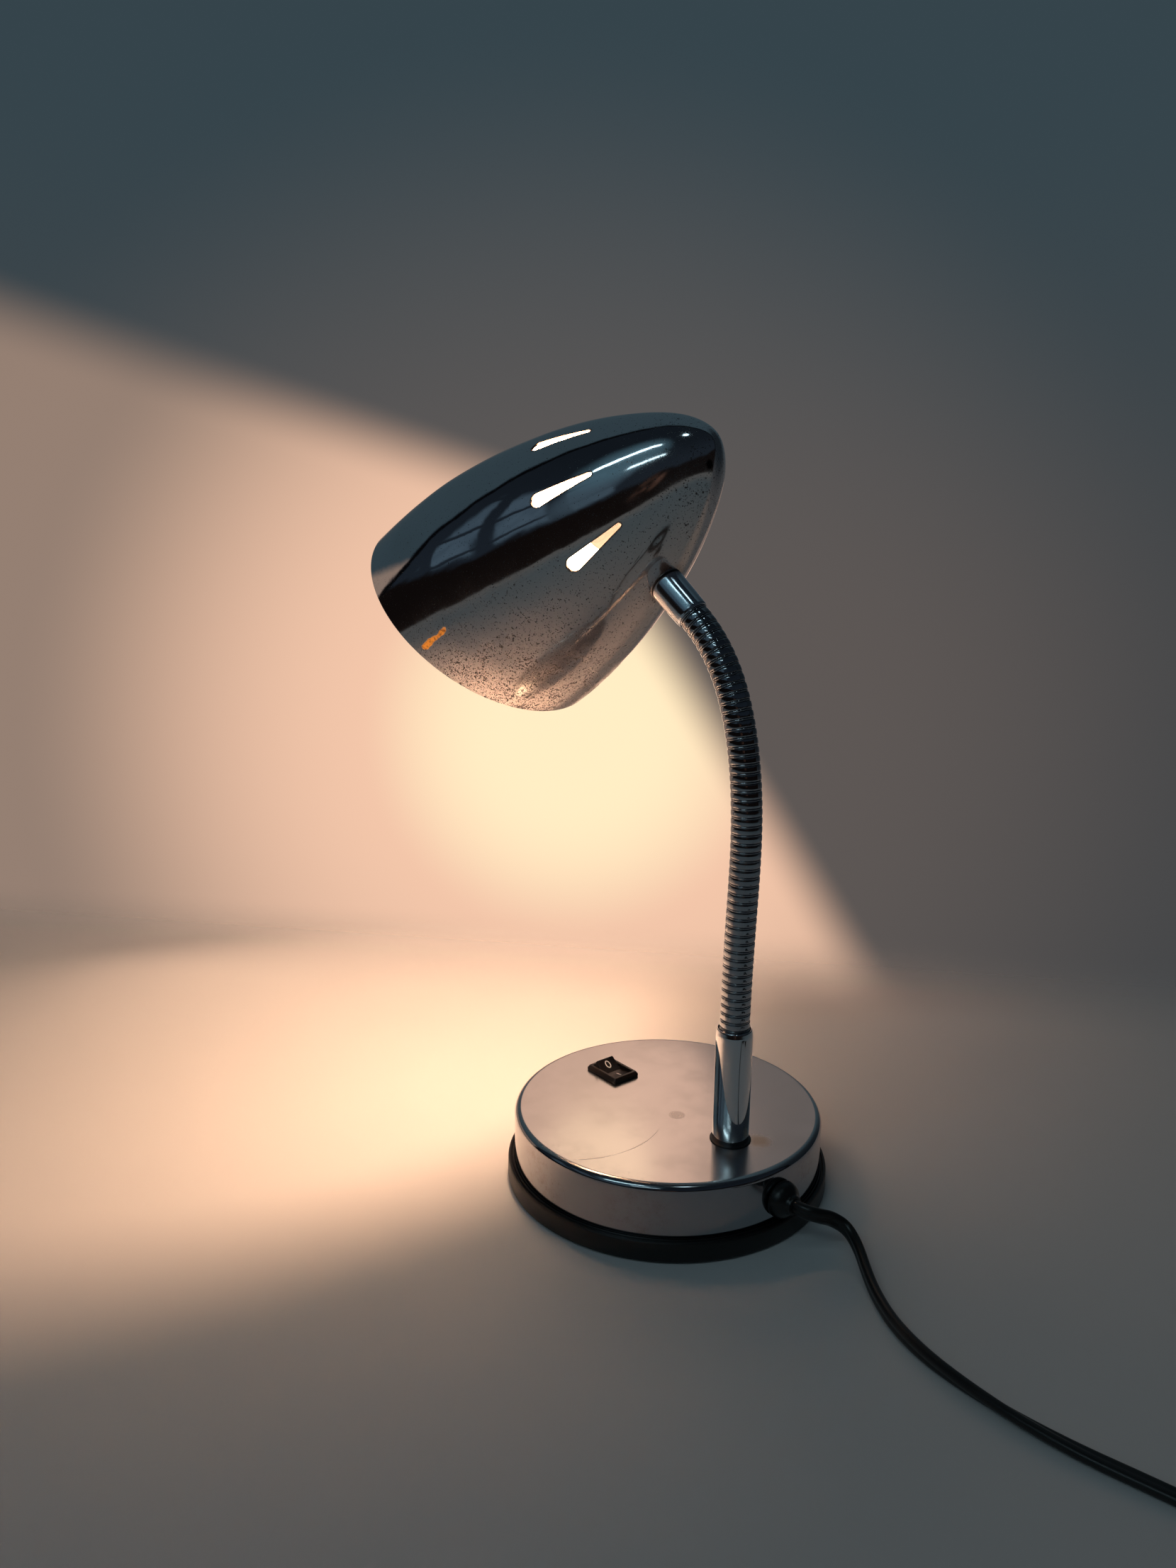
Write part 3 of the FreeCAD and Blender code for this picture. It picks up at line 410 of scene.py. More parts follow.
# base cover: worn plating, satin from fine scuffs on top, pits low on the wall, brown patches on the wall tinted as a
# painted warm reflection
def base_cover_material():
    m, nt, out = new_mat("chrome_base")
    g = G(nt)
    p = g.obj()
    sep = g.n("ShaderNodeSeparateXYZ")
    g.link(p, sep.inputs[0])
    top = g.ramp(sep.outputs[2], 0.0325, 0.0339)
    big = g.noise(30.0, 5.0, 0.6).outputs["Fac"]
    mid = g.noise(120.0, 4.0, 0.6).outputs["Fac"]
    fine = g.noise(600.0, 3.0, 0.6).outputs["Fac"]
    # gloss: the top is scuffed to a satin, the wall stays a mirror
    r_top = g.math("ADD", g.math("MULTIPLY", g.ramp(big, 0.35, 0.7), 0.06), 0.185)
    r_side = g.math("ADD", g.math("MULTIPLY", g.ramp(mid, 0.5, 0.8), 0.08), 0.07)
    r = g.math("ADD", g.math("MULTIPLY", r_top, top), g.math("MULTIPLY", r_side, g.math("SUBTRACT", 1.0, top)))
    # pits: a few on top, more on the wall's lower half
    cell = g.noise(1500.0, 1.5, 0.5).outputs["Fac"]
    patch = g.noise(55.0, 4.0, 0.65).outputs["Fac"]
    low = g.math("SUBTRACT", 1.0, g.ramp(sep.outputs[2], 0.012, 0.033))
    dens = g.math("ADD", g.math("MULTIPLY", low, 0.045), 0.0)
    thr = g.math("SUBTRACT", 0.80, g.math("MULTIPLY", g.ramp(patch, 0.42, 0.7), g.math("ADD", dens, 0.025)))
    pit = g.ramp(cell, thr, g.math("ADD", thr, 0.02))
    # pitted worn patches on the wall; their brown tint is a painted warm reflection
    w1 = g.math("SUBTRACT", 1.0, g.ramp(g.dist(p, (0.0700, -0.0037, 0.021)), 0.003, 0.020))
    w2 = g.math("SUBTRACT", 1.0, g.ramp(g.dist(p, (0.0560, 0.0420, 0.020)), 0.004, 0.022))
    w3 = g.math("SUBTRACT", 1.0, g.ramp(g.dist(p, (-0.0200, 0.0675, 0.025)), 0.003, 0.013))
    worn_and_painted_reflection = g.math("MAXIMUM", g.math("MAXIMUM", w1, g.math("MULTIPLY", w2, 0.6)), w3)
    grit = g.noise(1400.0, 3.0, 0.7).outputs["Fac"]
    smear_ = g.noise(150.0, 4.0, 0.7).outputs["Fac"]
    worn_and_painted_reflection = g.math("MULTIPLY", worn_and_painted_reflection, g.ramp(smear_, 0.40, 0.68))
    pit2 = g.math("MULTIPLY", g.ramp(grit, 0.55, 0.62), g.math("MULTIPLY", worn_and_painted_reflection, 0.7))
    pits = g.math("MAXIMUM", pit, pit2)
    base = g.mix(g.math("MULTIPLY", g.ramp(big, 0.4, 0.8), 0.5), (0.80, 0.79, 0.78), (0.70, 0.68, 0.66))
    base = g.mix(g.math("SUBTRACT", 1.0, top), base, (0.44, 0.44, 0.46))
    # brown on the wall patches: painted warm reflection
    base = g.mix(g.math("MULTIPLY", g.math("MULTIPLY", worn_and_painted_reflection, g.math("SUBTRACT", 1.0, top)), 0.45), base, (0.30, 0.21, 0.17))
    col = g.mix(g.math("MULTIPLY", pits, 0.85), base, (0.10, 0.085, 0.075))
    # round stain behind the switch, rust-pale ring right of the stem, a curved faint scratch
    st = g.math("SUBTRACT", 1.0, g.ramp(g.dist(p, (0.0041, 0.0110, 0.034)), 0.0030, 0.0042))
    st = g.math("MULTIPLY", st, top)
    wob = g.noise(260.0, 3.0, 0.6).outputs["Fac"]
    d1 = g.math("ADD", g.dist(p, (-0.0085, 0.0500, 0.034)), g.math("MULTIPLY", wob, 0.004))
    halo = g.math("MULTIPLY", g.math("SUBTRACT", 1.0, g.ramp(d1, 0.004, 0.0085)), top)
    col = g.mix(g.math("MULTIPLY", st, 0.30), col, (0.45, 0.38, 0.33))
    col = g.mix(g.math("MULTIPLY", halo, 0.55), col, (0.62, 0.46, 0.30))
    r = g.math("ADD", r, g.math("ADD", g.math("MULTIPLY", st, 0.07), g.math("MULTIPLY", halo, 0.20)))
    r = g.math("ADD", r, g.math("MULTIPLY", pits, 0.35))
    # scratch: a thin arc
    c0 = (0.0395, -0.0210, 0.034)
    dd = g.math("ABSOLUTE", g.math("SUBTRACT", g.dist(p, c0), 0.0416))
    dd = g.math("ADD", dd, g.math("MULTIPLY", g.math("SUBTRACT", mid, 0.5), 0.0012))
    gate = g.math("SUBTRACT", 1.0, g.ramp(g.dist(p, (0.042, 0.0185, 0.034)), 0.019, 0.025))
    scr = g.math("MULTIPLY", g.math("MULTIPLY", g.math("SUBTRACT", 1.0, g.ramp(dd, 0.0001, 0.0005)), gate), top)
    r = g.math("ADD", r, g.math("MULTIPLY", scr, 0.12))
    col = g.mix(g.math("MULTIPLY", scr, 0.25), col, (0.50, 0.44, 0.40))
    nrm = g.bump(g.noise(20.0, 2.0, 0.4).outputs["Fac"], 1.0, 0.10 * MM)
    nrm = g.bump(fine, 0.25, 0.004 * MM, nrm)
    nrm = g.bump(pits, -0.5, 0.05 * MM, nrm)
    # small dent left of the stem
    dent = g.math("SUBTRACT", 1.0, g.ramp(g.dist(p, (-0.061, 0.0087, 0.034)), 0.0, 0.004))
    nrm = g.bump(dent, -0.6, 0.35 * MM, nrm)
    g.bsdf(out, col, 1.0, r, nrm)
    return m


m_base = base_cover_material()
m_stem = chrome("chrome_stem", (0.80, 0.81, 0.83), 0.045, smear=0.03, wave=0.02, wave_scale=30.0)
m_fer = chrome("chrome_ferrule", (0.80, 0.86, 0.93), 0.13, smear=0.06, wave=0.10, wave_scale=60.0)


def neck_material():
    m, nt, out = new_mat("chrome_neck")
    g = G(nt)
    p = g.obj()
    big = g.noise(60.0, 4.0, 0.6).outputs["Fac"]
    fine = g.noise(900.0, 3.0, 0.6).outputs["Fac"]
    att = g.n("ShaderNodeAttribute")
    att.attribute_name = "groove"
    groove_shade = att.outputs["Fac"]
    base = g.mix(g.math("MULTIPLY", g.ramp(big, 0.4, 0.7), 0.6), (0.52, 0.53, 0.56), (0.40, 0.40, 0.42))
    # grooves painted near-black: painted shade in the recesses between the bands
    col = g.mix(groove_shade, base, (0.015, 0.013, 0.012))
    r = g.math("ADD", g.math("MULTIPLY", g.ramp(big, 0.4, 0.75), 0.05), 0.07)
    r = g.math("ADD", r, g.math("MULTIPLY", groove_shade, 0.5))
    nrm = g.bump(fine, 0.2, 0.01 * MM)
    nrm = g.bump(g.noise(240.0, 2.0, 0.5).outputs["Fac"], 0.6, 0.03 * MM, nrm)
    g.bsdf(out, col, 1.0, r, nrm)
    return m


m_neck = neck_material()


# shade: plated steel, pitted towards the mouth and underneath, with its marks; its underside is tinted warm and light
# as a painted reflection of the lit table
def shade_material():
    m, nt, out = new_mat("chrome_shade")
    g = G(nt)
    p = g.obj()
    # station along the axis, height above the axis and side, metres
    q = g.vmath("SUBTRACT", p, tuple(M * MM)).outputs[0]
    s = g.dot(q, tuple(U))
    hx = g.dot(q, tuple(X))
    low = g.math("SUBTRACT", 1.0, g.ramp(hx, -0.046, 0.010))
    near = g.math("SUBTRACT", 1.0, g.ramp(s, 0.015, 0.085))
    tail = g.math("MULTIPLY", g.ramp(s, 0.112, 0.140), 0.6)
    big = g.noise(34.0, 4.0, 0.6).outputs["Fac"]
    mid = g.noise(130.0, 4.0, 0.65).outputs["Fac"]
    dens = g.math("ADD", g.math("MULTIPLY", low, g.math("ADD", g.math("MULTIPLY", near, 0.65), 0.35)),
                  g.math("MULTIPLY", tail, 0.5))
    dens = g.math("MULTIPLY", dens, g.math("ADD", 0.65, g.math("MULTIPLY", g.ramp(mid, 0.4, 0.7), 0.6)))
    c1 = g.noise(1500.0, 1.5, 0.5).outputs["Fac"]
    c2 = g.noise(720.0, 2.0, 0.6).outputs["Fac"]
    t1 = g.math("SUBTRACT", 0.690, g.math("MULTIPLY", dens, 0.165))
    t2 = g.math("SUBTRACT", 0.705, g.math("MULTIPLY", dens, 0.150))
    pit = g.math("MAXIMUM", g.ramp(c1, t1, g.math("ADD", t1, 0.045)), g.ramp(c2, t2, g.math("ADD", t2, 0.04)))
    haze = g.math("MULTIPLY", dens, 0.16)
    base = g.mix(g.math("MULTIPLY", g.ramp(big, 0.4, 0.8), 0.5), (0.74, 0.75, 0.78), (0.64, 0.645, 0.66))
    # underside tinted warmer and lighter: a painted warm reflection of the lit table below
    warm = g.math("MULTIPLY", low, 0.85)
    base = g.mix(warm, base, (0.86, 0.77, 0.71))
    col = g.mix(g.math("MULTIPLY", pit, 0.85), base, (0.055, 0.045, 0.040))
    r = g.math("ADD", 0.045, haze)
    r = g.math("ADD", r, g.math("MULTIPLY", g.ramp(big, 0.45, 0.8), 0.03))
    r = g.math("ADD", r, g.math("MULTIPLY", pit, 0.4))

    def seg(a, b, w, soft, wob=0.0):
        """Mask of a thin line between two points, millimetres."""
        a, b = np.array(a, float), np.array(b, float)
        L = np.linalg.norm(b - a)
        d = (b - a) / L
        qa = g.vmath("SUBTRACT", p, tuple(a * MM)).outputs[0]
        t = g.dot(qa, tuple(d))
        tc = g.math("MINIMUM", g.math("MAXIMUM", t, 0.0), L * MM)
        sc = g.n("ShaderNodeVectorMath", operation="SCALE")
        sc.inputs[0].default_value = tuple(d)
        g.link(tc, sc.inputs["Scale"])
        dd = g.vmath("DISTANCE", qa, sc.outputs[0]).outputs["Value"]
        if wob:
            dd = g.math("ADD", dd, g.math("MULTIPLY", g.math("SUBTRACT", mid, 0.5), wob * MM))
        return g.math("SUBTRACT", 1.0, g.ramp(dd, w * MM, (w + soft) * MM))

    # orange rust streak near the rim
    rust = seg((77.9, -77.6, 243.0), (74.9, -66.0, 251.0), 1.05, 0.5, 4.6)
    rn = g.mix(g.ramp(c2, 0.45, 0.68), (0.95, 0.42, 0.035), (0.40, 0.15, 0.02))
    col = g.mix(g.math("MULTIPLY", rust, 0.96), col, rn)
    r = g.math("ADD", r, g.math("MULTIPLY", rust, 0.35))
    # thin dark line with a slight dent, in three runs
    k = seg((29.53, -0.44, 278.08), (27.6, 3.4, 283.0), 0.05, 0.14, 0.9)
    k = g.math("MAXIMUM", k, seg((27.6, 3.4, 283.0), (24.34, 10.23, 295.07), 0.05, 0.14, 0.9))
    k = g.math("MAXIMUM", k, seg((24.34, 10.23, 295.07), (17.04, 18.15, 310.14), 0.05, 0.12, 0.9))
    col = g.mix(g.math("MULTIPLY", k, 0.85), col, (0.02, 0.018, 0.018))
    # short bright scratch
    sc1 = seg((31.42, -6.81, 268.41), (24.08, 2.01, 278.04), 0.10, 0.18, 0.4)
    # dark blotch at the tail
    bl = g.math("ADD", g.dist(p, tuple(np.array([7.78, 22.09, 319.69]) * MM)), g.math("MULTIPLY", mid, 0.004))
    bl = g.math("SUBTRACT", 1.0, g.ramp(bl, 0.0034, 0.0046))
    col = g.mix(g.math("MULTIPLY", bl, 0.9), col, (0.01, 0.012, 0.014))
    # thin brown tint round each vent
    vt = None
    for an in (-120, -80, -40, 0, 40, 80, 120):
        ca_, sa_ = math.cos(math.radians(an)), math.sin(math.radians(an))
        er, et = X * ca_ + Y * sa_, -X * sa_ + Y * ca_
        tt = g.math("ABSOLUTE", g.dot(q, tuple(et)))
        over = g.math("GREATER_THAN", g.dot(q, tuple(er)), 0.012)
        u0 = g.math("MULTIPLY", g.math("SUBTRACT", s, 0.0891), 1.0 / 0.0219)
        u0 = g.math("MINIMUM", g.math("MAXIMUM", u0, 0.0), 1.0)
        ds = g.math("SUBTRACT", g.math("SUBTRACT", s, 0.0891), g.math("MULTIPLY", u0, 0.0219))
        dd = g.math("SQRT", g.math("ADD", g.math("MULTIPLY", tt, tt), g.math("MULTIPLY", ds, ds)))
        rad_ = g.math("SUBTRACT", 0.0030, g.math("MULTIPLY", u0, 0.00205))
        mk = g.math("SUBTRACT", 1.0, g.ramp(g.math("SUBTRACT", dd, rad_), 0.0001, 0.0009))
        mk = g.math("MULTIPLY", mk, over)
        vt = mk if vt is None else g.math("MAXIMUM", vt, mk)
    col = g.mix(g.math("MULTIPLY", vt, 0.75), col, (0.30, 0.13, 0.05))
    # brown painted shadow round the ferrule's foot on the shade
    ft = E1 + D * 18.3
    ferrule_painted_shadow = g.math("SUBTRACT", 1.0, g.ramp(g.math("ADD", g.dist(p, tuple(ft * MM)), g.math("MULTIPLY", mid, 0.004)), 0.0085, 0.0145))
    col = g.mix(g.math("MULTIPLY", ferrule_painted_shadow, 0.55), col, (0.24, 0.15, 0.10))
    col = g.mix(g.math("MULTIPLY", sc1, 0.6), col, (0.95, 0.90, 0.85))
    r = g.math("ADD", r, g.math("MULTIPLY", sc1, 0.35))
    # slow waves of the pressed sheet
    nrm = g.bump(g.noise(30.0, 2.0, 0.45).outputs["Fac"], 1.0, 0.36 * MM)
    nrm = g.bump(g.noise(105.0, 2.0, 0.5).outputs["Fac"], 1.0, 0.035 * MM, nrm)
    nrm = g.bump(pit, -0.6, 0.05 * MM, nrm)
    nrm = g.bump(k, -0.6, 0.05 * MM, nrm)
    dull = g.math("SUBTRACT", 1.0, g.math("MULTIPLY", g.math("MULTIPLY", dens, low), 0.24))
    met = g.math("MULTIPLY", dull, g.math("SUBTRACT", 1.0, g.math("MULTIPLY", rust, 0.9)))
    g.bsdf(out, col, met, r, nrm)
    return m


m_shade = shade_material()


def shade_inner_material():
    m, nt, out = new_mat("shade_inside")
    g = G(nt)
    big = g.noise(40.0, 4.0, 0.6).outputs["Fac"]
    fine = g.noise(500.0, 3.0, 0.6).outputs["Fac"]
    col = g.mix(g.ramp(big, 0.35, 0.75), (0.80, 0.79, 0.76), (0.70, 0.67, 0.62))
    r = g.math("ADD", g.math("MULTIPLY", fine, 0.15), 0.32)
    g.bsdf(out, col, 0.55, r, g.bump(fine, 0.3, 0.02 * MM))
    return m


m_inner = shade_inner_material()


def glass_material():
    """Lit opal glass: brightest at the middle of the globe, a little darker at its neck."""
    m, nt, out = new_mat("opal_glass_lit")
    g = G(nt)
    p = g.obj()
    q = g.vmath("SUBTRACT", p, tuple(M * MM)).outputs[0]
    s = g.dot(q, tuple(U))
    f = g.math("SUBTRACT", 1.0, g.ramp(s, 0.066, 0.094))
    n = g.noise(50.0, 2.0, 0.5).outputs["Fac"]
    e = g.math("ADD", g.math("MULTIPLY", f, 0.75), g.math("MULTIPLY", n, 0.25))
    col = g.mix(f, (1.0, 0.66, 0.36), (1.0, 0.80, 0.55))
    em = g.math("MULTIPLY", e, 15.0)
    g.bsdf(out, (0.90, 0.88, 0.84), 0.0, 0.18, None, Emission_Color=col, Emission_Strength=em)
    return m


m_opal = glass_material()


def clear_material(name, color, rough=0.05):
    m, nt, out = new_mat(name)
    g = G(nt)
    n = g.noise(200.0, 2.0, 0.5).outputs["Fac"]
    g.bsdf(out, color, 0.0, g.math("ADD", g.math("MULTIPLY", n, 0.05), rough), None)
    return m


m_clear = clear_material("stem_glass", (0.75, 0.78, 0.76))

# --------------------------------------------------------------- mains cord
ROUTE = [(0.0, 79.0, 19.7), (0.0, 83.6, 19.7), (-4.4, 88.2, 18.2), (-11.0, 89.6, 15.2),
         (-15.4, 94.6, 11.4), (-12.8, 102.8, 7.6), (-6.2, 112.0, 4.9), (1.6, 123.0, 3.6),
         (10.2, 138.4, 3.3), (15.4, 156.2, 3.2), (17.0, 175.2, 3.0), (16.2, 195.2, 2.6),
         (13.4, 215.2, 2.2), (8.8, 234.6, 2.1), (4.4, 253.6, 2.1), (2.2, 272.5, 2.1)]
COIL_C = (-36.0, 289.5)
ROUTE_END = [(-74.3, 289.5, 13.4), (-75.2, 281.1, 12.2), (-76.8, 272.5, 9.4),
             (-78.8, 264.1, 6.75), (-80.8, 256.5, 6.75)]


def coil_points():
    """Seven and a half turns in four layers of two, wound outside, inside, up, and so on."""
    out_, per = [], 16
    kk = math.cos(math.pi / per)
    tracks = [38.0, 31.0, 31.0, 38.0, 38.0, 31.0, 31.0, 38.0]
    layers = [1.98, 1.98, 5.93, 5.93, 9.88, 9.88, 13.83, 13.83]

    def sm(t):
        t = max(0.0, min(1.0, t))
        return t * t * (3 - 2 * t)

    n_total = int(7.5 * per)
    for i in range(n_total):
        turn, a = divmod(i * 360.0 / per, 360.0)
        turn = int(turn)
        r0, z0 = tracks[turn], layers[turn]
        r1 = tracks[min(turn + 1, 7)]
        z1 = layers[min(turn + 1, 7)]
        z = z0 + (z1 - z0) * sm((a - 262.0) / 50.0)
        r = r0 + (r1 - r0) * sm((a - 305.0) / 55.0)
        w = 0.35 * math.sin(1.7 * i + 0.6 * turn)
        th = math.radians(a)
        out_.append((COIL_C[0] + (r + 0.4 * w) / kk * math.cos(th), COIL_C[1] + (r + 0.4 * w) / kk * math.sin(th), z))
    return out_


ctrl = ROUTE + coil_points() + ROUTE_END
cu_data = bpy.data.curves.new("cord_line", "CURVE")
cu_data.dimensions = "3D"
sp = cu_data.splines.new("NURBS")
sp.points.add(len(ctrl) - 1)
for i, c in enumerate(ctrl):
    sp.points[i].co = (c[0] * MM, c[1] * MM, c[2] * MM, 1.0)
sp.order_u = 3
sp.use_endpoint_u = True
sp.resolution_u = 7
cu_obj = bpy.data.objects.new("cord_line", cu_data)
scene.collection.objects.link(cu_obj)
bpy.context.view_layer.update()
dg = bpy.context.evaluated_depsgraph_get()
line_me = bpy.data.meshes.new_from_object(cu_obj.evaluated_get(dg))
line = np.array([v.co[:] for v in line_me.vertices], float)
bpy.data.objects.remove(cu_obj)
bpy.data.meshes.remove(line_me)
keep = [0]
for i in range(1, len(line)):
    if np.linalg.norm(line[i] - line[keep[-1]]) > 2e-5:
        keep.append(i)
line = line[keep]
seglen = np.linalg.norm(np.diff(line, axis=0), axis=1)
arcl = np.concatenate([[0], np.cumsum(seglen)])


def cord_mesh():
    """Flat two-core flex, 6.4 by 3.9 mm: on edge at the base, lying flat further out."""
    rc, off = 1.95, 1.25
    sec = []
    nseg = 36
    for i in range(nseg):
        a = 2 * math.pi * i / nseg
        c, s = math.cos(a), math.sin(a)
        # outline of two round cores with a filled groove between them
        rr = abs(c) * off + math.sqrt(max(rc * rc - (s * off) ** 2, 0.0))
        sec.append((rr * c, rr * s))
    sec = np.array(sec)
    sec[:, 1] = np.where(np.abs(sec[:, 0]) < 1.25, np.sign(sec[:, 1]) * np.maximum(np.abs(sec[:, 1]), 1.72), sec[:, 1])
    T = np.gradient(line, axis=0)
    T /= np.linalg.norm(T, axis=1)[:, None]
    verts = []
    Z_ = np.array([0, 0, 1.0])
    prev = None
    for i, (pt, t) in enumerate(zip(line, T)):
        side = np.cross(t, Z_)
        nn = np.linalg.norm(side)
        side = side / nn if nn > 0.05 else prev
        up = np.cross(side, t)
        prev = side
        l = arcl[i] * 1000.0
        # roll of the flat section: 0 lies flat, 90 stands on edge
        u_ = min(max((l - 78.0) / 95.0, 0.0), 1.0)
        roll = math.radians(90.0) * (1 - u_ * u_ * (3 - 2 * u_))
        w_ = side * math.cos(roll) + up * math.sin(roll)
        h_ = -side * math.sin(roll) + up * math.cos(roll)
        for a, b in sec:
            verts.append(pt * 1000.0 + w_ * a + h_ * b)
    n, k = len(line), nseg
    faces = []
    for i in range(n - 1):
        for j in range(k):
            j2 = (j + 1) % k
            faces.append((i * k + j, i * k + j2, (i + 1) * k + j2, (i + 1) * k + j))
    faces.append(tuple(range(k))[::-1])
    faces.append(tuple((n - 1) * k + j for j in range(k)))
    ob = mesh_obj("mains_cord", verts, faces, (m_cord,))
    fix_normals(ob)
    return ob


cord = cord_mesh()
sharp_by_angle(cord, 60.0)
ride(cord, "base", "cord_pvc", "cord_lead", "cord_coil", "cord_tail")

# bush where the cord leaves the base: dome, neck and collar
by = (np.array([1.0, 0, 0]), np.array([0, 0, -1.0]), np.array([0, 1.0, 0]))
bush_prof = [(0, -12.0), (4.6, -12.0), (6.0, -9.0), (6.0, -1.2), (4.95, -1.2), (4.95, 0.25), (7.7, 0.25), (8.0, 0.6), (8.0, 1.6)]
bush_prof += [(7.86, 2.7), (7.5, 3.8), (6.9, 4.75), (6.1, 5.55), (5.2, 6.15), (4.75, 6.5), (4.35, 7.0), (4.2, 7.6), (4.1, 8.2), (3.8, 8.6), (0, 8.6)]
bush = revolve("cord_bush", bush_prof, 72, (0, 70.4, 19.7), by, (m_cord,), closed=False, deg=50)
ride(bush, "base", "cord_pvc", "cord_strain_relief")


# strap round the coil
def tie_mesh():
    """Flat rubber strap round the wound turns."""
    r0, r1, h = 27.4, 41.6, 15.8
    path = []
    x0, x1, z0, z1, rr = r0 - 0.72, r1 + 0.6, 0.42, h + 0.6, 2.6
    for cx, cz, a0 in ((x1 - rr, z1 - rr, 0), (x0 + rr, z1 - rr, 90), (x0 + 0.42, z0 + 0.42, 180), (x1 - 0.42, z0 + 0.42, 270)):
        rad = rr if a0 in (0, 90) else 0.42
        for i in range(7):
            a = math.radians(a0 + 90.0 * i / 6)
            path.append((cx + rad * math.cos(a), cz + rad * math.sin(a), math.cos(a), math.sin(a)))
    sec = [(-2.9, -0.28), (-2.6, -0.36), (2.6, -0.36), (2.9, -0.28), (2.9, 0.28), (2.6, 0.38), (1.3, 0.44), (-1.3, 0.44), (-2.6, 0.38), (-2.9, 0.28)]
    verts, n, k = [], len(path), len(sec)
    ca, sa = math.cos(math.radians(60)), math.sin(math.radians(60))
    for x, z, nx, nz in path:
        for w, t in sec:
            lx, lz = x + nx * t, z + nz * t
            verts.append((COIL_C[0] + ca * lx - sa * w, COIL_C[1] + sa * lx + ca * w, lz))
    faces = [(i * k + j, i * k + (j + 1) % k, ((i + 1) % n) * k + (j + 1) % k, ((i + 1) % n) * k + j) for i in range(n) for j in range(k)]
    ob = mesh_obj("coil_strap", verts, faces, (m_gasket,))
    fix_normals(ob)
    sharp_by_angle(ob, 40)
    return ob


tie = tie_mesh()
ride(tie, "base", "cord_pvc", "coil_tie")

# plug: flared body with grip ribs at its neck
PA = np.array([-0.2545, -0.9671, 0.0])
PA /= np.linalg.norm(PA)
PB = np.cross(np.array([0, 0, 1.0]), PA)
PO = np.array([-80.8, 256.5, 6.75]) + PA * 0.05


def plug_mesh():
    st = [(0.0, 8.6, 6.4, 2.6), (6.0, 11.0, 8.0, 3.0), (14.0, 17.0, 11.0, 4.0), (24.0, 30.0, 13.4, 5.0), (31.0, 34.6, 13.4, 5.6), (36.0, 35.3, 13.4, 5.6)]
    ts = [s[0] for s in st]

    def at(t):
        def cat(c):
            x = [s[c] for s in st]
            i = max(0, min(len(ts) - 2, int(np.searchsorted(ts, t) - 1)))
            h = ts[i + 1] - ts[i]
            u = (t - ts[i]) / h
            m0 = (x[i + 1] - x[max(i - 1, 0)]) / (ts[i + 1] - ts[max(i - 1, 0)]) if i > 0 else (x[1] - x[0]) / h
            m1 = (x[min(i + 2, len(x) - 1)] - x[i]) / (ts[min(i + 2, len(x) - 1)] - ts[i])
            return (2 * u ** 3 - 3 * u ** 2 + 1) * x[i] + (u ** 3 - 2 * u ** 2 + u) * h * m0 + (-2 * u ** 3 + 3 * u ** 2) * x[i + 1] + (u ** 3 - u ** 2) * h * m1
        return min(cat(1), 35.3), min(cat(2), 13.4), cat(3)

    rows = []
    t = 0.0
    steps = []
    while t <= 36.0001:
        steps.append(t)
        t += 0.5
    for t in steps:
        w, h, r = at(t)
        inset = 0.0
        if 1.0 < t < 13.5:
            ph = (t - 1.0) % 2.5
            if ph > 1.5:
                inset = 0.55
        if 17.0 < t < 27.5:
            ph = (t - 17.0) % 2.1
            if ph > 1.05:
                inset = 0.28
        if t > 35.2:
            inset = 0.5 * (t - 35.2) / 0.8
        if t < 0.4:
            inset = 0.35
        rows.append((t, w / 2 - inset, h / 2 - inset, max(r - inset, 0.8)))
    verts, k = [], 0
    for t, w, h, r in rows:
        r = min(r, h - 0.05, w - 0.05)
        ring = []
        for cx, cz, a0 in ((w - r, h - r, 0), (-w + r, h - r, 90), (-w + r, -h + r, 180), (w - r, -h + r, 270)):
            for i in range(9):
                a = math.radians(a0 + 90.0 * i / 8)
                ring.append((cx + r * math.cos(a), cz + r * math.sin(a)))
        k = len(ring)
        for x, z in ring:
            verts.append(PO + PB * x + np.array([0, 0, 1.0]) * z + PA * t)
    n = len(rows)
    faces = [(i * k + j, i * k + (j + 1) % k, (i + 1) * k + (j + 1) % k, (i + 1) * k + j) for i in range(n - 1) for j in range(k)]
    faces.append(tuple(range(k)))
    faces.append(tuple((n - 1) * k + j for j in range(k))[::-1])
    ob = mesh_obj("mains_plug", verts, faces, (m_plug,))
    fix_normals(ob)
    sharp_by_angle(ob, 38)
    return ob


plug = plug_mesh()
ride(plug, "base", "plug_black", "plug_body")
pin_parts = []
for sg in (-1, 1):
    pr = [(0, 36.06), (1.98, 36.06), (2.0, 36.3), (2.0, 45.2), (1.92, 45.4), (1.92, 45.5), (1.97, 45.7), (1.97, 53.2), (1.8, 54.2), (1.4, 54.8), (0.8, 55.05), (0, 55.1)]
    pin_parts.append(revolve("plug_pin_%d" % (1 if sg < 0 else 2), pr, 32, PO + PB * (9.2 * sg), (PB, np.array([0, 0, 1.0]), PA), (m_plug, m_nickel),
                             closed=False, deg=30, mat_rows=[0, 0, 0, 0, 0, 1, 1, 1, 1, 1, 1]))
for pp in pin_parts:
    ride(pp, "base", "nickel", "plug_pins")

[tuple(p) for p in line]

# ------------------------------------------------------------------- the base
CR, CH, CT, CF = 70.4, 34.0, 0.8, 3.2


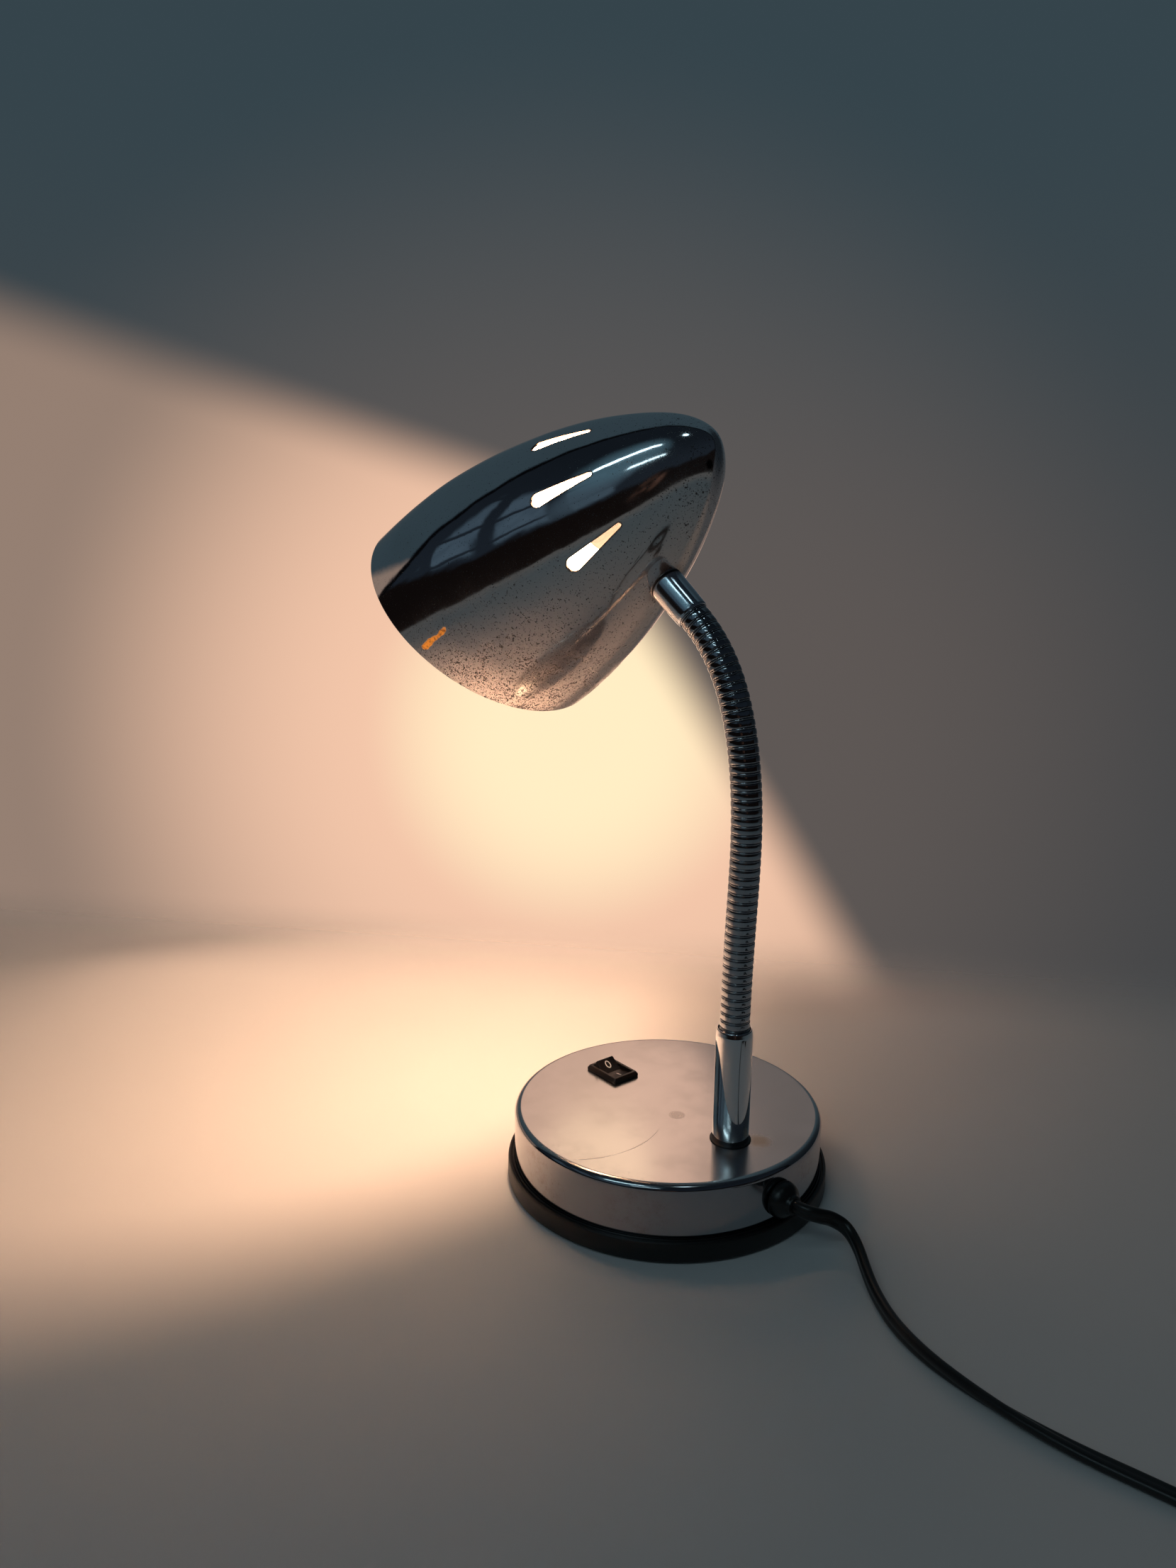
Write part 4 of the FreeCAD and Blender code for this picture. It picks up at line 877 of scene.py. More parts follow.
def cover_mesh():
    prof = [(0.0, CH)]
    for r in (3, 6, 9, 14, 20, 26, 32, 38, 44, 50, 56, 61, 64.5):
        prof.append((float(r), CH))
    prof += arc(CR - CF, CH - CF, CF, 90, 0, 14)
    for z in (28.0, 24.0, 20.0, 15.0, 10.0, 5.4):
        prof.append((CR, z))
    prof += [(CR - 0.12, 5.1), (CR - 0.4, 5.0), (CR - CT, 5.1), (CR - CT, CH - CF)]
    prof += arc(CR - CF, CH - CF, CF - CT, 0, 90, 8)[1:]
    prof += [(0.0, CH - CT)]
    ob = revolve("base_cover_sheet", prof, 256, mats=(m_base,), closed=False, deg=40)
    cut = []
    cut.append(revolve("c1", [(0, CH - 3), (5.25, CH - 3), (5.25, CH + 3), (0, CH + 3)], 32, (0, 40.6, 0), closed=False))
    cut.append(mesh_obj("c2", [(x, -39 + y, z) for z in (CH - 3, CH + 3) for x, y in ((-6.6, -9.7), (6.6, -9.7), (6.6, 9.7), (-6.6, 9.7))],
                        [(3, 2, 1, 0), (4, 5, 6, 7), (0, 1, 5, 4), (1, 2, 6, 5), (2, 3, 7, 6), (3, 0, 4, 7)], smooth=False))
    cut.append(revolve("c3", [(0, -4), (5.1, -4), (5.1, 4), (0, 4)], 48, (0, 70.4, 19.7), by, closed=False))
    boolean_cut(ob, cut)
    me = ob.data
    nv = len(me.vertices)
    co = np.zeros(nv * 3)
    me.vertices.foreach_get("co", co)
    co = co.reshape(-1, 3) * 1000.0
    rad = np.hypot(co[:, 0], co[:, 1])
    # which vertices lie on the outer skin, and their true normals
    on = np.zeros(nv, bool)
    nr = np.zeros((nv, 3))
    top = (np.abs(co[:, 2] - CH) < 0.01) & (rad < CR - CF + 0.02)
    wall = (np.abs(rad - CR) < 0.03) & (co[:, 2] < CH - CF + 0.02) & (co[:, 2] > 5.3)
    fil = (rad > CR - CF - 0.02) & (co[:, 2] > CH - CF - 0.02) & (np.abs(np.hypot(rad - (CR - CF), co[:, 2] - (CH - CF)) - CF) < 0.04)
    nr[top] = (0, 0, 1)
    nr[wall, 0] = co[wall, 0] / rad[wall]
    nr[wall, 1] = co[wall, 1] / rad[wall]
    fr, fz = (rad - (CR - CF)) / CF, (co[:, 2] - (CH - CF)) / CF
    L = np.maximum(np.hypot(fr, fz), 1e-6)
    fr, fz = fr / L, fz / L
    nr[fil, 0] = (fr * co[:, 0] / np.maximum(rad, 1e-6))[fil]
    nr[fil, 1] = (fr * co[:, 1] / np.maximum(rad, 1e-6))[fil]
    nr[fil, 2] = fz[fil]
    on = top | wall | fil
    custom_normals(ob, on, nr)
    return ob


def custom_normals(ob, on, nr, on2=None, nr2=None):
    """True normals on faces whose corners all lie on a known surface, flat elsewhere."""
    me = ob.data
    me.polygons.foreach_set("use_smooth", [True] * len(me.polygons))
    ln = np.zeros((len(me.loops), 3))
    vi = np.zeros(len(me.loops), int)
    me.loops.foreach_get("vertex_index", vi)
    cn = np.zeros(len(me.loops) * 3)
    me.corner_normals.foreach_get("vector", cn)
    ln[:] = cn.reshape(-1, 3)
    for p in me.polygons:
        li = range(p.loop_start, p.loop_start + p.loop_total)
        vs = vi[p.loop_start:p.loop_start + p.loop_total]
        fn = np.array(p.normal)
        if on[vs].all() and (nr[vs] @ fn).min() > 0.3:
            ln[p.loop_start:p.loop_start + p.loop_total] = nr[vs]
        elif on2 is not None and on2[vs].all() and (nr2[vs] @ fn).min() > 0.3:
            ln[p.loop_start:p.loop_start + p.loop_total] = nr2[vs]
        else:
            ln[p.loop_start:p.loop_start + p.loop_total] = fn
    me.normals_split_custom_set([tuple(v) for v in ln])


cover = cover_mesh()
ride(cover, "base", "chrome_base", "base_cover")

RR, RH = 73.5, 10.0
tray_prof = [(0, 1.0), (RR - 6.0, 1.0), (RR - 6.0, 0.4), (RR - 1.4, 0.4), (RR - 0.6, 0.62), (RR - 0.15, 1.05), (RR, 1.6), (RR, RH - 1.3),
             (RR - 0.12, RH - 0.7), (RR - 0.45, RH - 0.25), (RR - 0.9, RH - 0.1), (RR - 1.3, RH - 0.12), (RR - 1.5, RH - 0.4), (RR - 1.62, RH - 0.9),
             (RR - 2.0, RH - 0.9), (RR - 2.12, RH - 0.3), (RR - 2.3, RH - 0.04), (RR - 2.5, RH), (CR + 0.35, RH), (CR + 0.18, RH - 0.15), (CR + 0.15, RH - 0.5),
             (CR + 0.15, 4.6), (CR - CT - 0.15, 4.6), (CR - CT - 0.15, 9.0), (CR - CT - 1.8, 9.0), (CR - CT - 1.8, 3.4), (0, 3.4)]
tray = revolve("base_tray_rim", tray_prof, 256, mats=(m_black,), closed=False, deg=35)
ride(tray, "base", "black_tray", "base_tray")

# thin ring at the foot of the stem
zc = CH + 0.02
collar = revolve("stem_ring", [(5.3, zc), (8.8, zc), (9.0, zc + 0.2), (9.0, zc + 0.4), (8.8, zc + 0.6), (5.3, zc + 0.6)], 96, (0, 40.6, 0), mats=(m_collar,), deg=50)
ride(collar, "base", "black_gasket", "stem_collar")
z0 = zc + 0.62
ST = 86.3
stem_prof = [(5.3, z0), (7.9, z0), (8.0, z0 + 0.12), (8.0, 45.0), (8.0, 60.0), (8.0, 75.0), (8.0, ST - 3.2), (7.96, ST - 2.6), (7.85, ST - 2.0), (7.72, ST - 1.4), (7.60, ST - 0.7),
             (7.50, ST - 0.25), (7.38, ST - 0.06), (7.22, ST), (7.08, ST - 0.06), (7.0, ST - 0.25), (7.0, z0 + 1.6), (5.3, z0 + 1.6)]
stem = revolve("stem_sleeve", stem_prof, 128, (0, 40.6, 0), mats=(m_stem,), deg=50)
ride(stem, "base", "chrome_stem", "stem_tube")

# ------------------------------------------------------------------- switch
zb = CH + 0.03
SW = (0.0, -39.0)


def rounded_rect(w, l, r, n=5):
    pts = []
    for cx, cy, a0 in ((w - r, l - r, 0), (-w + r, l - r, 90), (-w + r, -l + r, 180), (w - r, -l + r, 270)):
        for i in range(n + 1):
            a = math.radians(a0 + 90.0 * i / n)
            pts.append((cx + r * math.cos(a), cy + r * math.sin(a)))
    return pts


def loft_rings(name, rings, mats, cap0=True, cap1=True, deg=35, closed=False):
    """rings: lists of 3-D points with equal counts."""
    k = len(rings[0])
    verts = [p for r in rings for p in r]
    n = len(rings)
    faces = []
    for i in range(n if closed else n - 1):
        i2 = (i + 1) % n
        for j in range(k):
            faces.append((i * k + j, i * k + (j + 1) % k, i2 * k + (j + 1) % k, i2 * k + j))
    if cap0 and not closed:
        faces.append(tuple(range(k))[::-1])
    if cap1 and not closed:
        faces.append(tuple((n - 1) * k + j for j in range(k)))
    ob = mesh_obj(name, verts, faces, mats)
    fix_normals(ob)
    sharp_by_angle(ob, deg)
    return ob


def bezel_mesh():
    """Bezel with a chamfered frame, its well and the body under the sheet."""
    def ring(w, l, r, z):
        return [(SW[0] + x, SW[1] + y, z) for x, y in rounded_rect(w, l, r)]
    R_ = [ring(6.4, 9.4, 0.3, zb - 15.5), ring(6.4, 9.4, 0.3, zb - 0.05), ring(6.45, 9.45, 0.3, zb), ring(7.3, 10.3, 0.7, zb),
          ring(7.5, 10.5, 0.9, zb + 0.10), ring(7.6, 10.6, 1.0, zb + 0.3), ring(7.6, 10.6, 1.0, zb + 0.95), ring(7.5, 10.5, 0.95, zb + 1.35),
          ring(6.9, 9.9, 0.8, zb + 2.2), ring(6.72, 9.72, 0.7, zb + 2.42), ring(6.5, 9.5, 0.6, zb + 2.5), ring(5.9, 8.7, 0.45, zb + 2.5),
          ring(5.6, 8.4, 0.35, zb + 2.42), ring(5.5, 8.3, 0.3, zb + 2.2), ring(5.5, 8.3, 0.3, zb - 8.0), ring(3.0, 6.5, 0.3, zb - 8.0),
          ring(3.0, 6.5, 0.3, zb - 13.5)]
    return loft_rings("switch_bezel", R_, (m_switch,), deg=30)


bezel = bezel_mesh()
ride(bezel, "base", "black_switch", "switch_housing")
PIV = np.array([0.0, -39.0, zb - 1.6])
ROLL = math.radians(-12.0)


def rock(x, y, z):
    """Rocker's own frame, tilted to ON, to the row's frame."""
    return (PIV[0] + x, PIV[1] + y * math.cos(ROLL) - z * math.sin(ROLL), PIV[2] + y * math.sin(ROLL) + z * math.cos(ROLL))


def rocker_top(y):
    """Height of the finger surface: two nearly flat wings and a soft valley."""
    a = abs(y)
    t = a / 7.8
    base_ = 2.1 + (5.2 - 2.1) * t
    return base_ + 0.26 * math.exp(-(a / 1.6) ** 2) - 0.22 * math.sin(math.pi * t) ** 1.0 * 0.6


def rocker_mesh():
    ys = [-7.8, -7.72, -7.55, -7.3] + [(-7.0 + 0.5 * i) for i in range(29)] + [7.3, 7.55, 7.72, 7.8]
    drop = {0: 0.55, 1: 0.25, 2: 0.08, 3: 0.0}
    top = []
    n = len(ys)
    for i, y in enumerate(ys):
        k = min(i, n - 1 - i)
        top.append((y, rocker_top(y) - drop.get(k, 0.0)))
    bottom = [(7.8, -1.2), (3.2, -3.4), (-3.2, -3.4), (-7.8, -1.2)]
    prof = top + bottom
    # rings across the width, edges rounded near the sides
    rings = []
    for x, ins in ((-5.3, 0.42), (-5.22, 0.2), (-5.02, 0.05), (-4.7, 0.0), (4.7, 0.0), (5.02, 0.05), (5.22, 0.2), (5.3, 0.42)):
        rings.append([rock(x, y * (1 - ins / 7.8 * 0.6), z - (ins if z > 0 else -ins * 0.5)) for y, z in prof])
    return loft_rings("rocker_key", rings, (m_rocker,), deg=28)


rocker = rocker_mesh()
ride(rocker, "rocker", "black_switch", "switch_rocker")
m_mark, nt_, out_ = new_mat("mark_white")
g_ = G(nt_)
nz_ = g_.noise(900.0, 2.0, 0.5).outputs["Fac"]
g_.bsdf(out_, g_.mix(g_.math("MULTIPLY", nz_, 0.3), (0.93, 0.91, 0.88), (0.75, 0.73, 0.70)), 0.0, g_.math("ADD", g_.math("MULTIPLY", nz_, 0.1), 0.35))


def mark_ring(name, cy, rx, ry, w, n=48):
    """Raised ring on the finger surface."""
    rings = []
    for k in range(n):
        a = 2 * math.pi * k / n
        c, s = math.cos(a), math.sin(a)
        pts = []
        for dr, dz in ((0, -0.05), (0.02, 0.025), (w - 0.02, 0.025), (w, -0.05)):
            x, y = (rx - dr) * c, cy + (ry - dr) * s
            pts.append(rock(x, y, rocker_top(y) + dz))
        rings.append(pts)
    return loft_rings(name, rings, (m_mark,), closed=True, deg=40)


def mark_bar(name, cy, hw, hl):
    rings = []
    for i in range(9):
        y = cy - hl + 2 * hl * i / 8
        z = rocker_top(y)
        rings.append([rock(-hw, y, z - 0.05), rock(-hw + 0.03, y, z + 0.025), rock(hw - 0.03, y, z + 0.025), rock(hw, y, z - 0.05)])
    return loft_rings(name, rings, (m_mark,), deg=40)


mk0 = mark_ring("mark_off", -4.4, 1.5, 2.0, 0.62)
mk1 = mark_bar("mark_on", 4.0, 0.33, 1.6)
for o in (mk0, mk1):
    ride(o, "rocker", "black_switch")

# --------------------------------------------------------------------- neck
NECK_LEN, NJ, NEND, STEM_Y = 181.6, 20, 5.5, 40.6
LEAN = (0.0, -0.0305, -0.0211, 0.1126, 0.3670, 0.8706)


def spline_coef():
    n = len(LEAN)
    h = 1.0 / (n - 1)
    a = np.zeros((n, n))
    b = np.zeros(n)
    a[0, 0] = a[-1, -1] = 1.0
    for i in range(1, n - 1):
        a[i, i - 1], a[i, i], a[i, i + 1] = h, 4 * h, h
        b[i] = 6 * (LEAN[i + 1] - 2 * LEAN[i] + LEAN[i - 1]) / h
    return np.linalg.solve(a, b), h


SM, SHh = spline_coef()


def lean(u):
    n = len(LEAN)
    i = min(max(int(u / SHh), 0), n - 2)
    t = u - i * SHh
    h = SHh
    return (SM[i] * (h - t) ** 3 + SM[i + 1] * t ** 3) / (6 * h) + (LEAN[i] / h - SM[i] * h / 6) * (h - t) + (LEAN[i + 1] / h - SM[i + 1] * h / 6) * t


NP = 1816
pth = [(0.0, ST)]
s_, z_ = 0.0, ST
for i in range(NP):
    an = lean((i + 0.5) / NP)
    s_ += math.sin(an) * NECK_LEN / NP
    z_ += math.cos(an) * NECK_LEN / NP
    pth.append((s_, z_))
pth = np.array(pth)
SB = np.array([0, STEM_Y, 0.0])
Zv = np.array([0, 0, 1.0])
_end = SB + F * pth[-1][0] + Zv * pth[-1][1]
OFF = E1 - _end


def neck_at(l):
    """Centre and tangent of the hose, l millimetres above the stem's rim."""
    def pos(q):
        if q <= 0:
            return SB + Zv * (ST + q)
        if q >= NECK_LEN:
            return E1 + D * (q - NECK_LEN)
        k = q / NECK_LEN * NP
        i = min(int(k), NP - 1)
        f = k - i
        s, z = pth[i] * (1 - f) + pth[i + 1] * f
        t = min(max((q - 150.0) / 31.6, 0.0), 1.0)
        return SB + F * s + Zv * z + OFF * (t * t * (3 - 2 * t))
    a, b = pos(l - 0.25), pos(l + 0.25)
    t = (b - a) / np.linalg.norm(b - a)
    return pos(l), t


PITCH = 3.6
# radius over one pitch of the wound strip: groove, narrow lip, groove, broad crowned band
# third column marks the grooves, which the material paints near-black as painted shade
BAND = [(0.0, 5.92, 1.0), (0.12, 5.92, 1.0), (0.17, 6.22, 0.0), (0.30, 6.32, 0.0), (0.60, 6.34, 0.0), (0.76, 6.24, 0.0), (0.82, 5.95, 1.0), (0.95, 5.95, 1.0),
        (1.02, 6.34, 0.0), (1.16, 6.46, 0.0), (1.50, 6.50, 0.0), (2.10, 6.52, 0.0), (2.70, 6.51, 0.0), (3.20, 6.49, 0.0), (3.45, 6.44, 0.0), (3.55, 6.30, 0.0)]
joint_pitch = (NECK_LEN - 2 * NEND) / (NJ - 1)
piv_l = [NEND + joint_pitch * k for k in range(NJ)]
cuts = [-3.6]
for k in range(NJ - 1):
    mid = (piv_l[k] + piv_l[k + 1]) / 2
    cuts.append(round(mid / PITCH) * PITCH)
cuts.append(NECK_LEN + 3.0)


def neck_piece(k):
    l0, l1 = cuts[k], cuts[k + 1]
    prof = []
    p0 = int(round(l0 / PITCH)) if k > 0 else -1
    l = p0 * PITCH
    while l < l1 - 1e-6:
        for du, r, gr in BAND:
            q = l + du
            if l0 - 1e-6 <= q <= l1 + 1e-6:
                prof.append((q, r, gr))
        l += PITCH
    if abs(prof[-1][0] - l1) > 1e-4:
        prof.append((l1, 5.92, 1.0))
    outer = [(q, r, gr) for q, r, gr in prof]
    inner = [(q, 5.25, 1.0) for q in np.linspace(l1, l0, max(3, int((l1 - l0) / 1.8)))]
    loop = outer + inner
    n = 64
    verts, groove_shade = [], []
    for q, r, gr in loop:
        c, t = neck_at(q)
        x = AX - t * (AX @ t)
        x /= np.linalg.norm(x)
        y = np.cross(t, x)
        for i in range(n):
            a = 2 * math.pi * i / n
            verts.append(c + x * (r * math.cos(a)) + y * (r * math.sin(a)))
            groove_shade.append(gr)
    m = len(loop)
    faces = [(i * n + j, i * n + (j + 1) % n, ((i + 1) % m) * n + (j + 1) % n, ((i + 1) % m) * n + j) for i in range(m) for j in range(n)]
    ob = mesh_obj("neck_hose_%02d" % (k + 1), verts, faces, (m_neck,))
    fix_normals(ob)
    at = ob.data.attributes.new("groove", "FLOAT", "POINT")
    at.data.foreach_set("value", groove_shade)
    sharp_by_angle(ob, 42)
    s0, _ = neck_at(max(l0, 1.0))
    s1, _ = neck_at(min(l1, NECK_LEN - 0.6))
    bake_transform(ob)
    names = {0: ("neck_end_lower",), 19: ("neck_link_19", "neck_end_upper")}.get(k, ("neck_link_%02d" % k,))
    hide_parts(*names)
    return ob


for k in range(NJ):
    neck_piece(k)

# ------------------------------------------------------------------ ferrule
fx, fy, fz = AX - D * (AX @ D), None, D
fx /= np.linalg.norm(fx)
fy = np.cross(fz, fx)
# -------------------------------------------------------------------- shade
SP = np.array([(-22.0, 58.7), (0.0, 58.75), (15.0, 58.2), (30.0, 56.95), (45.0, 54.6), (60.0, 51.5), (75.0, 47.5), (90.0, 42.7), (105.0, 36.8),
               (120.0, 29.4), (132.0, 22.2), (141.0, 15.2), (147.3, 7.6), (150.0, 0.0)])


def c2_spline(pts, t0, t1):
    """Cubic spline through points with chord-length parameters and given end directions."""
    d = np.concatenate([[0], np.cumsum(np.linalg.norm(np.diff(pts, axis=0), axis=1))])
    n = len(pts)
    A_ = np.zeros((n, n))
    B_ = np.zeros((n, 2))
    h = np.diff(d)
    A_[0, 0] = 1
    B_[0] = t0
    A_[-1, -1] = 1
    B_[-1] = t1
    for i in range(1, n - 1):
        A_[i, i - 1] = 1 / h[i - 1]
        A_[i, i] = 2 * (1 / h[i - 1] + 1 / h[i])
        A_[i, i + 1] = 1 / h[i]
        B_[i] = 3 * ((pts[i] - pts[i - 1]) / h[i - 1] ** 2 + (pts[i + 1] - pts[i]) / h[i] ** 2)
    m_ = np.linalg.solve(A_, B_)

    def ev(u):
        i = min(max(int(np.searchsorted(d, u) - 1), 0), n - 2)
        t = (u - d[i]) / h[i]
        p = (2 * t ** 3 - 3 * t ** 2 + 1) * pts[i] + (t ** 3 - 2 * t ** 2 + t) * h[i] * m_[i] + (-2 * t ** 3 + 3 * t ** 2) * pts[i + 1] + (t ** 3 - t ** 2) * h[i] * m_[i + 1]
        return p
    return ev, d[-1]


ev, Ltot = c2_spline(SP, np.array([1.0, 0.0]), np.array([0.0, -1.0]))
us = np.linspace(0, Ltot, 241)
PO_ = np.array([ev(u) for u in us])           # (s, r)
TO_ = np.gradient(PO_, axis=0)
TO_ /= np.linalg.norm(TO_, axis=1)[:, None]
TO_[-1] = (0.0, -1.0)
TO_[0] = (1.0, 0.0)
NO_ = np.stack([-TO_[:, 1], TO_[:, 0]], 1)     # outward (s, r)
PI_ = PO_ - NO_ * 0.7
PI_[-1] = (149.3, 0.0)
TANC = math.tan(math.radians(16.2))


# ---------------------------------------- ferrule, shaped to sit on the shade
def land(a, r):
    """How far along the neck's axis the shade's skin lies, at an angle and radius."""
    lo, hi = 8.0, 27.0
    e = fx * math.cos(a) + fy * math.sin(a)
    for _ in range(40):
        m_ = (lo + hi) / 2
        q = E1 + D * m_ + e * r - M
        rr = math.hypot(q @ X, q @ Y)
        if rr > np.interp(q @ U, PO_[:, 0], PO_[:, 1]):
            lo = m_
        else:
            hi = m_
    return (lo + hi) / 2


def landed(name, rows, mats, deg=50, n=128):
    """Sleeve whose rows are (radius, height, part of the way to the shade, offset from it)."""
    rings = []
    for r, z, f, off in rows:
        ring = []
        for i in range(n):
            a = 2 * math.pi * i / n
            l = z if f == 0 else z * (1 - f) + (land(a, r) + off) * f
            ring.append(tuple(E1 + D * l + (fx * math.cos(a) + fy * math.sin(a)) * r))
        rings.append(ring)
    return loft_rings(name, rings, mats, deg=deg, closed=True)


ferrule = landed("neck_ferrule", [
    (6.6, 0.0, 0, 0), (6.8, 0.0, 0, 0), (6.95, 0.08, 0, 0), (7.02, 0.25, 0, 0), (7.06, 0.6, 0, 0), (7.15, 0.75, 0, 0), (7.2, 1.2, 0, 0),
    (7.26, 3.0, 0, 0), (7.34, 5.5, 0, 0), (7.42, 8.0, 0, 0), (7.50, 10.0, 0.25, -2.4), (7.58, 12.0, 0.6, -1.9), (7.66, 14.0, 0.9, -1.6),
    (7.70, 15.0, 1.0, -1.25), (7.68, 15.0, 1.0, -0.85), (7.58, 15.0, 1.0, -0.55), (7.40, 15.0, 1.0, -0.40), (7.1, 15.0, 1.0, -0.36),
    (6.62, 15.0, 1.0, -0.36), (6.6, 10.0, 0, 0)], (m_fer,))
ride(ferrule, "head", "chrome_stem", "upper_ferrule")
seam = landed("ferrule_seal", [(6.7, 15.0, 1.0, -0.34), (7.45, 15.0, 1.0, -0.36), (7.62, 15.0, 1.0, -0.26), (7.66, 15.0, 1.0, -0.10), (7.6, 15.0, 1.0, -0.02), (6.7, 15.0, 1.0, -0.02)], (m_gasket,))
ride(seam, "head", "black_gasket", "ferrule_gasket")


def shade_mesh():
    n = 288
    rows_o = 150
    verts, faces = [], []

    def surf(P, N):
        """Grid from the oblique mouth to the tail; the first row lies in the mouth's plane."""
        grid, nor = [], []
        idx = []
        for j in range(n):
            a = 2 * math.pi * j / n
            ca = math.cos(a)
            # where this meridian crosses the mouth plane: s = -r cos(a) tan
            f = P[:, 0] + P[:, 1] * ca * TANC
            k = int(np.argmax(f > 0))
            t = 0.0 if k == 0 else -f[k - 1] / (f[k] - f[k - 1])
            u0 = us[max(k - 1, 0)] + t * (us[1] - us[0])
            uu = u0 + (Ltot - u0) * np.linspace(0, 1, rows_o) ** 1.0
            s = np.interp(uu, us, P[:, 0])
            r = np.interp(uu, us, P[:, 1])
            ns = np.interp(uu, us, N[:, 0])
            nr_ = np.interp(uu, us, N[:, 1])
            idx.append((s, r, ns, nr_, a))
        return idx
    out_i = surf(PO_, NO_)
    in_i = surf(PI_, NO_)
    # rim lip: rounded edge between the two skins
    def add(s, r, a):
        verts.append(M + U * s + X * (r * math.cos(a)) + Y * (r * math.sin(a)))
        return len(verts) - 1
    cols = []
    for j in range(n):
        so, ro, _, _, a = out_i[j]
        si, ri, _, _, _ = in_i[j]
        col = []
        for k in range(rows_o - 1, 0, -1):
            if k == rows_o - 1:
                col.append(None)
            else:
                col.append(add(so[k], ro[k], a))
        # rounded lip of six points, held inside the mouth plane
        co_, ci_ = np.array([so[0], ro[0]]), np.array([si[0], ri[0]])
        do = np.array([so[1] - so[0], ro[1] - ro[0]])
        do /= np.linalg.norm(do)
        w = (ci_ - co_)
        for q in range(7):
            b = math.pi * q / 6
            mid_ = (co_ + ci_) / 2
            pp = mid_ - w / 2 * math.cos(b) + do * 0.36 * (1 - math.sin(b))
            col.append(add(pp[0], pp[1], a))
        for k in range(1, rows_o):
            if k == rows_o - 1:
                col.append(None)
            else:
                col.append(add(si[k], ri[k], a))
        cols.append(col)
    tip_o = add(150.0, 0.0, 0.0)
    tip_i = add(149.3, 0.0, 0.0)
    m = len(cols[0])
    for j in range(n):
        c, d = cols[j], cols[(j + 1) % n]
        for k in range(m - 1):
            a0, a1, b0, b1 = c[k], c[k + 1], d[k], d[k + 1]
            if a0 is None:
                faces.append((tip_o, a1, b1))
            elif a1 is None:
                faces.append((a0, tip_i, b0))
            else:
                faces.append((a0, a1, b1, b0))
    ob = mesh_obj("shade_shell", verts, faces, (m_shade, m_inner))
    fix_normals(ob)
    # cutters: tear-shaped vents and the hole under the ferrule
    cut = []
    S0, R0, S1, R1 = 89.1, 3.0, 111.0, 0.95
    be = math.acos((R0 - R1) / (S1 - S0))
    outl = []
    for i in range(17):
        t = -be + 2 * be * i / 16
        outl.append((R1 * math.sin(t), S1 + R1 * math.cos(t)))
    for i in range(33):
        t = be + (2 * math.pi - 2 * be) * i / 32
        outl.append((R0 * math.sin(t), S0 + R0 * math.cos(t)))
    for vi, an in enumerate((-120, -80, -40, 0, 40, 80, 120)):
        a = math.radians(an)
        ex, ey = X * math.cos(a) + Y * math.sin(a), -X * math.sin(a) + Y * math.cos(a)
        kk = len(outl)
        vs = [M + U * s + ey * y + ex * r for r in (22.0, 62.0) for y, s in outl]
        fs = [(i, (i + 1) % kk, kk + (i + 1) % kk, kk + i) for i in range(kk)] + [tuple(range(kk))[::-1], tuple(kk + i for i in range(kk))]
        c = mesh_obj("vent%d" % vi, vs, fs, smooth=False)
        fix_normals(c)
        cut.append(c)
    h = revolve("hole", [(0, 12.0), (5.2, 12.0), (5.2, 27.0), (0, 27.0)], 48, E1, (fx, fy, fz), closed=False)
    cut.append(h)
    boolean_cut(ob, cut)
    me = ob.data
    nv = len(me.vertices)
    co = np.zeros(nv * 3)
    me.vertices.foreach_get("co", co)
    co = co.reshape(-1, 3) * 1000.0 - M
    s = co @ U
    x, y = co @ X, co @ Y
    r = np.hypot(x, y)
    def match(P):
        on = np.zeros(nv, bool)
        nr = np.zeros((nv, 3))
        best = np.full(nv, 1e9)
        bu = np.zeros(nv)
        pts = np.stack([s, r], 1)
        for k in range(len(P) - 1):
            a, b = P[k], P[k + 1]
            d = b - a
            L2 = d @ d
            t = np.clip(((pts - a) @ d) / L2, 0, 1)
            dd = np.linalg.norm(pts - (a + t[:, None] * d), axis=1)
            up = dd < best
            best[up] = dd[up]
            bu[up] = us[k] + t[up] * (us[1] - us[0])
        on = best < 0.03
        ns = np.interp(bu, us, NO_[:, 0])
        nn = np.interp(bu, us, NO_[:, 1])
        rr = np.maximum(r, 1e-6)
        nr = ns[:, None] * U + (nn * x / rr)[:, None] * X + (nn * y / rr)[:, None] * Y
        nr /= np.linalg.norm(nr, axis=1)[:, None]
        return on, nr
    on_o, nr_o = match(PO_)
    on_i, nr_i = match(PI_)
    nr_i = -nr_i
    vidx = np.zeros(len(me.loops), int)
    me.loops.foreach_get("vertex_index", vidx)
    mi = []
    for p in me.polygons:
        vs = vidx[p.loop_start:p.loop_start + p.loop_total]
        fn = np.array(p.normal)
        mi.append(1 if (on_i[vs].all() and (nr_i[vs] @ fn).min() > 0.3) else 0)
    me.polygons.foreach_set("material_index", mi)
    custom_normals(ob, on_o, nr_o, on_i, nr_i)
    return ob


shade = shade_mesh()
ride(shade, "head", "chrome_shade", "shade")

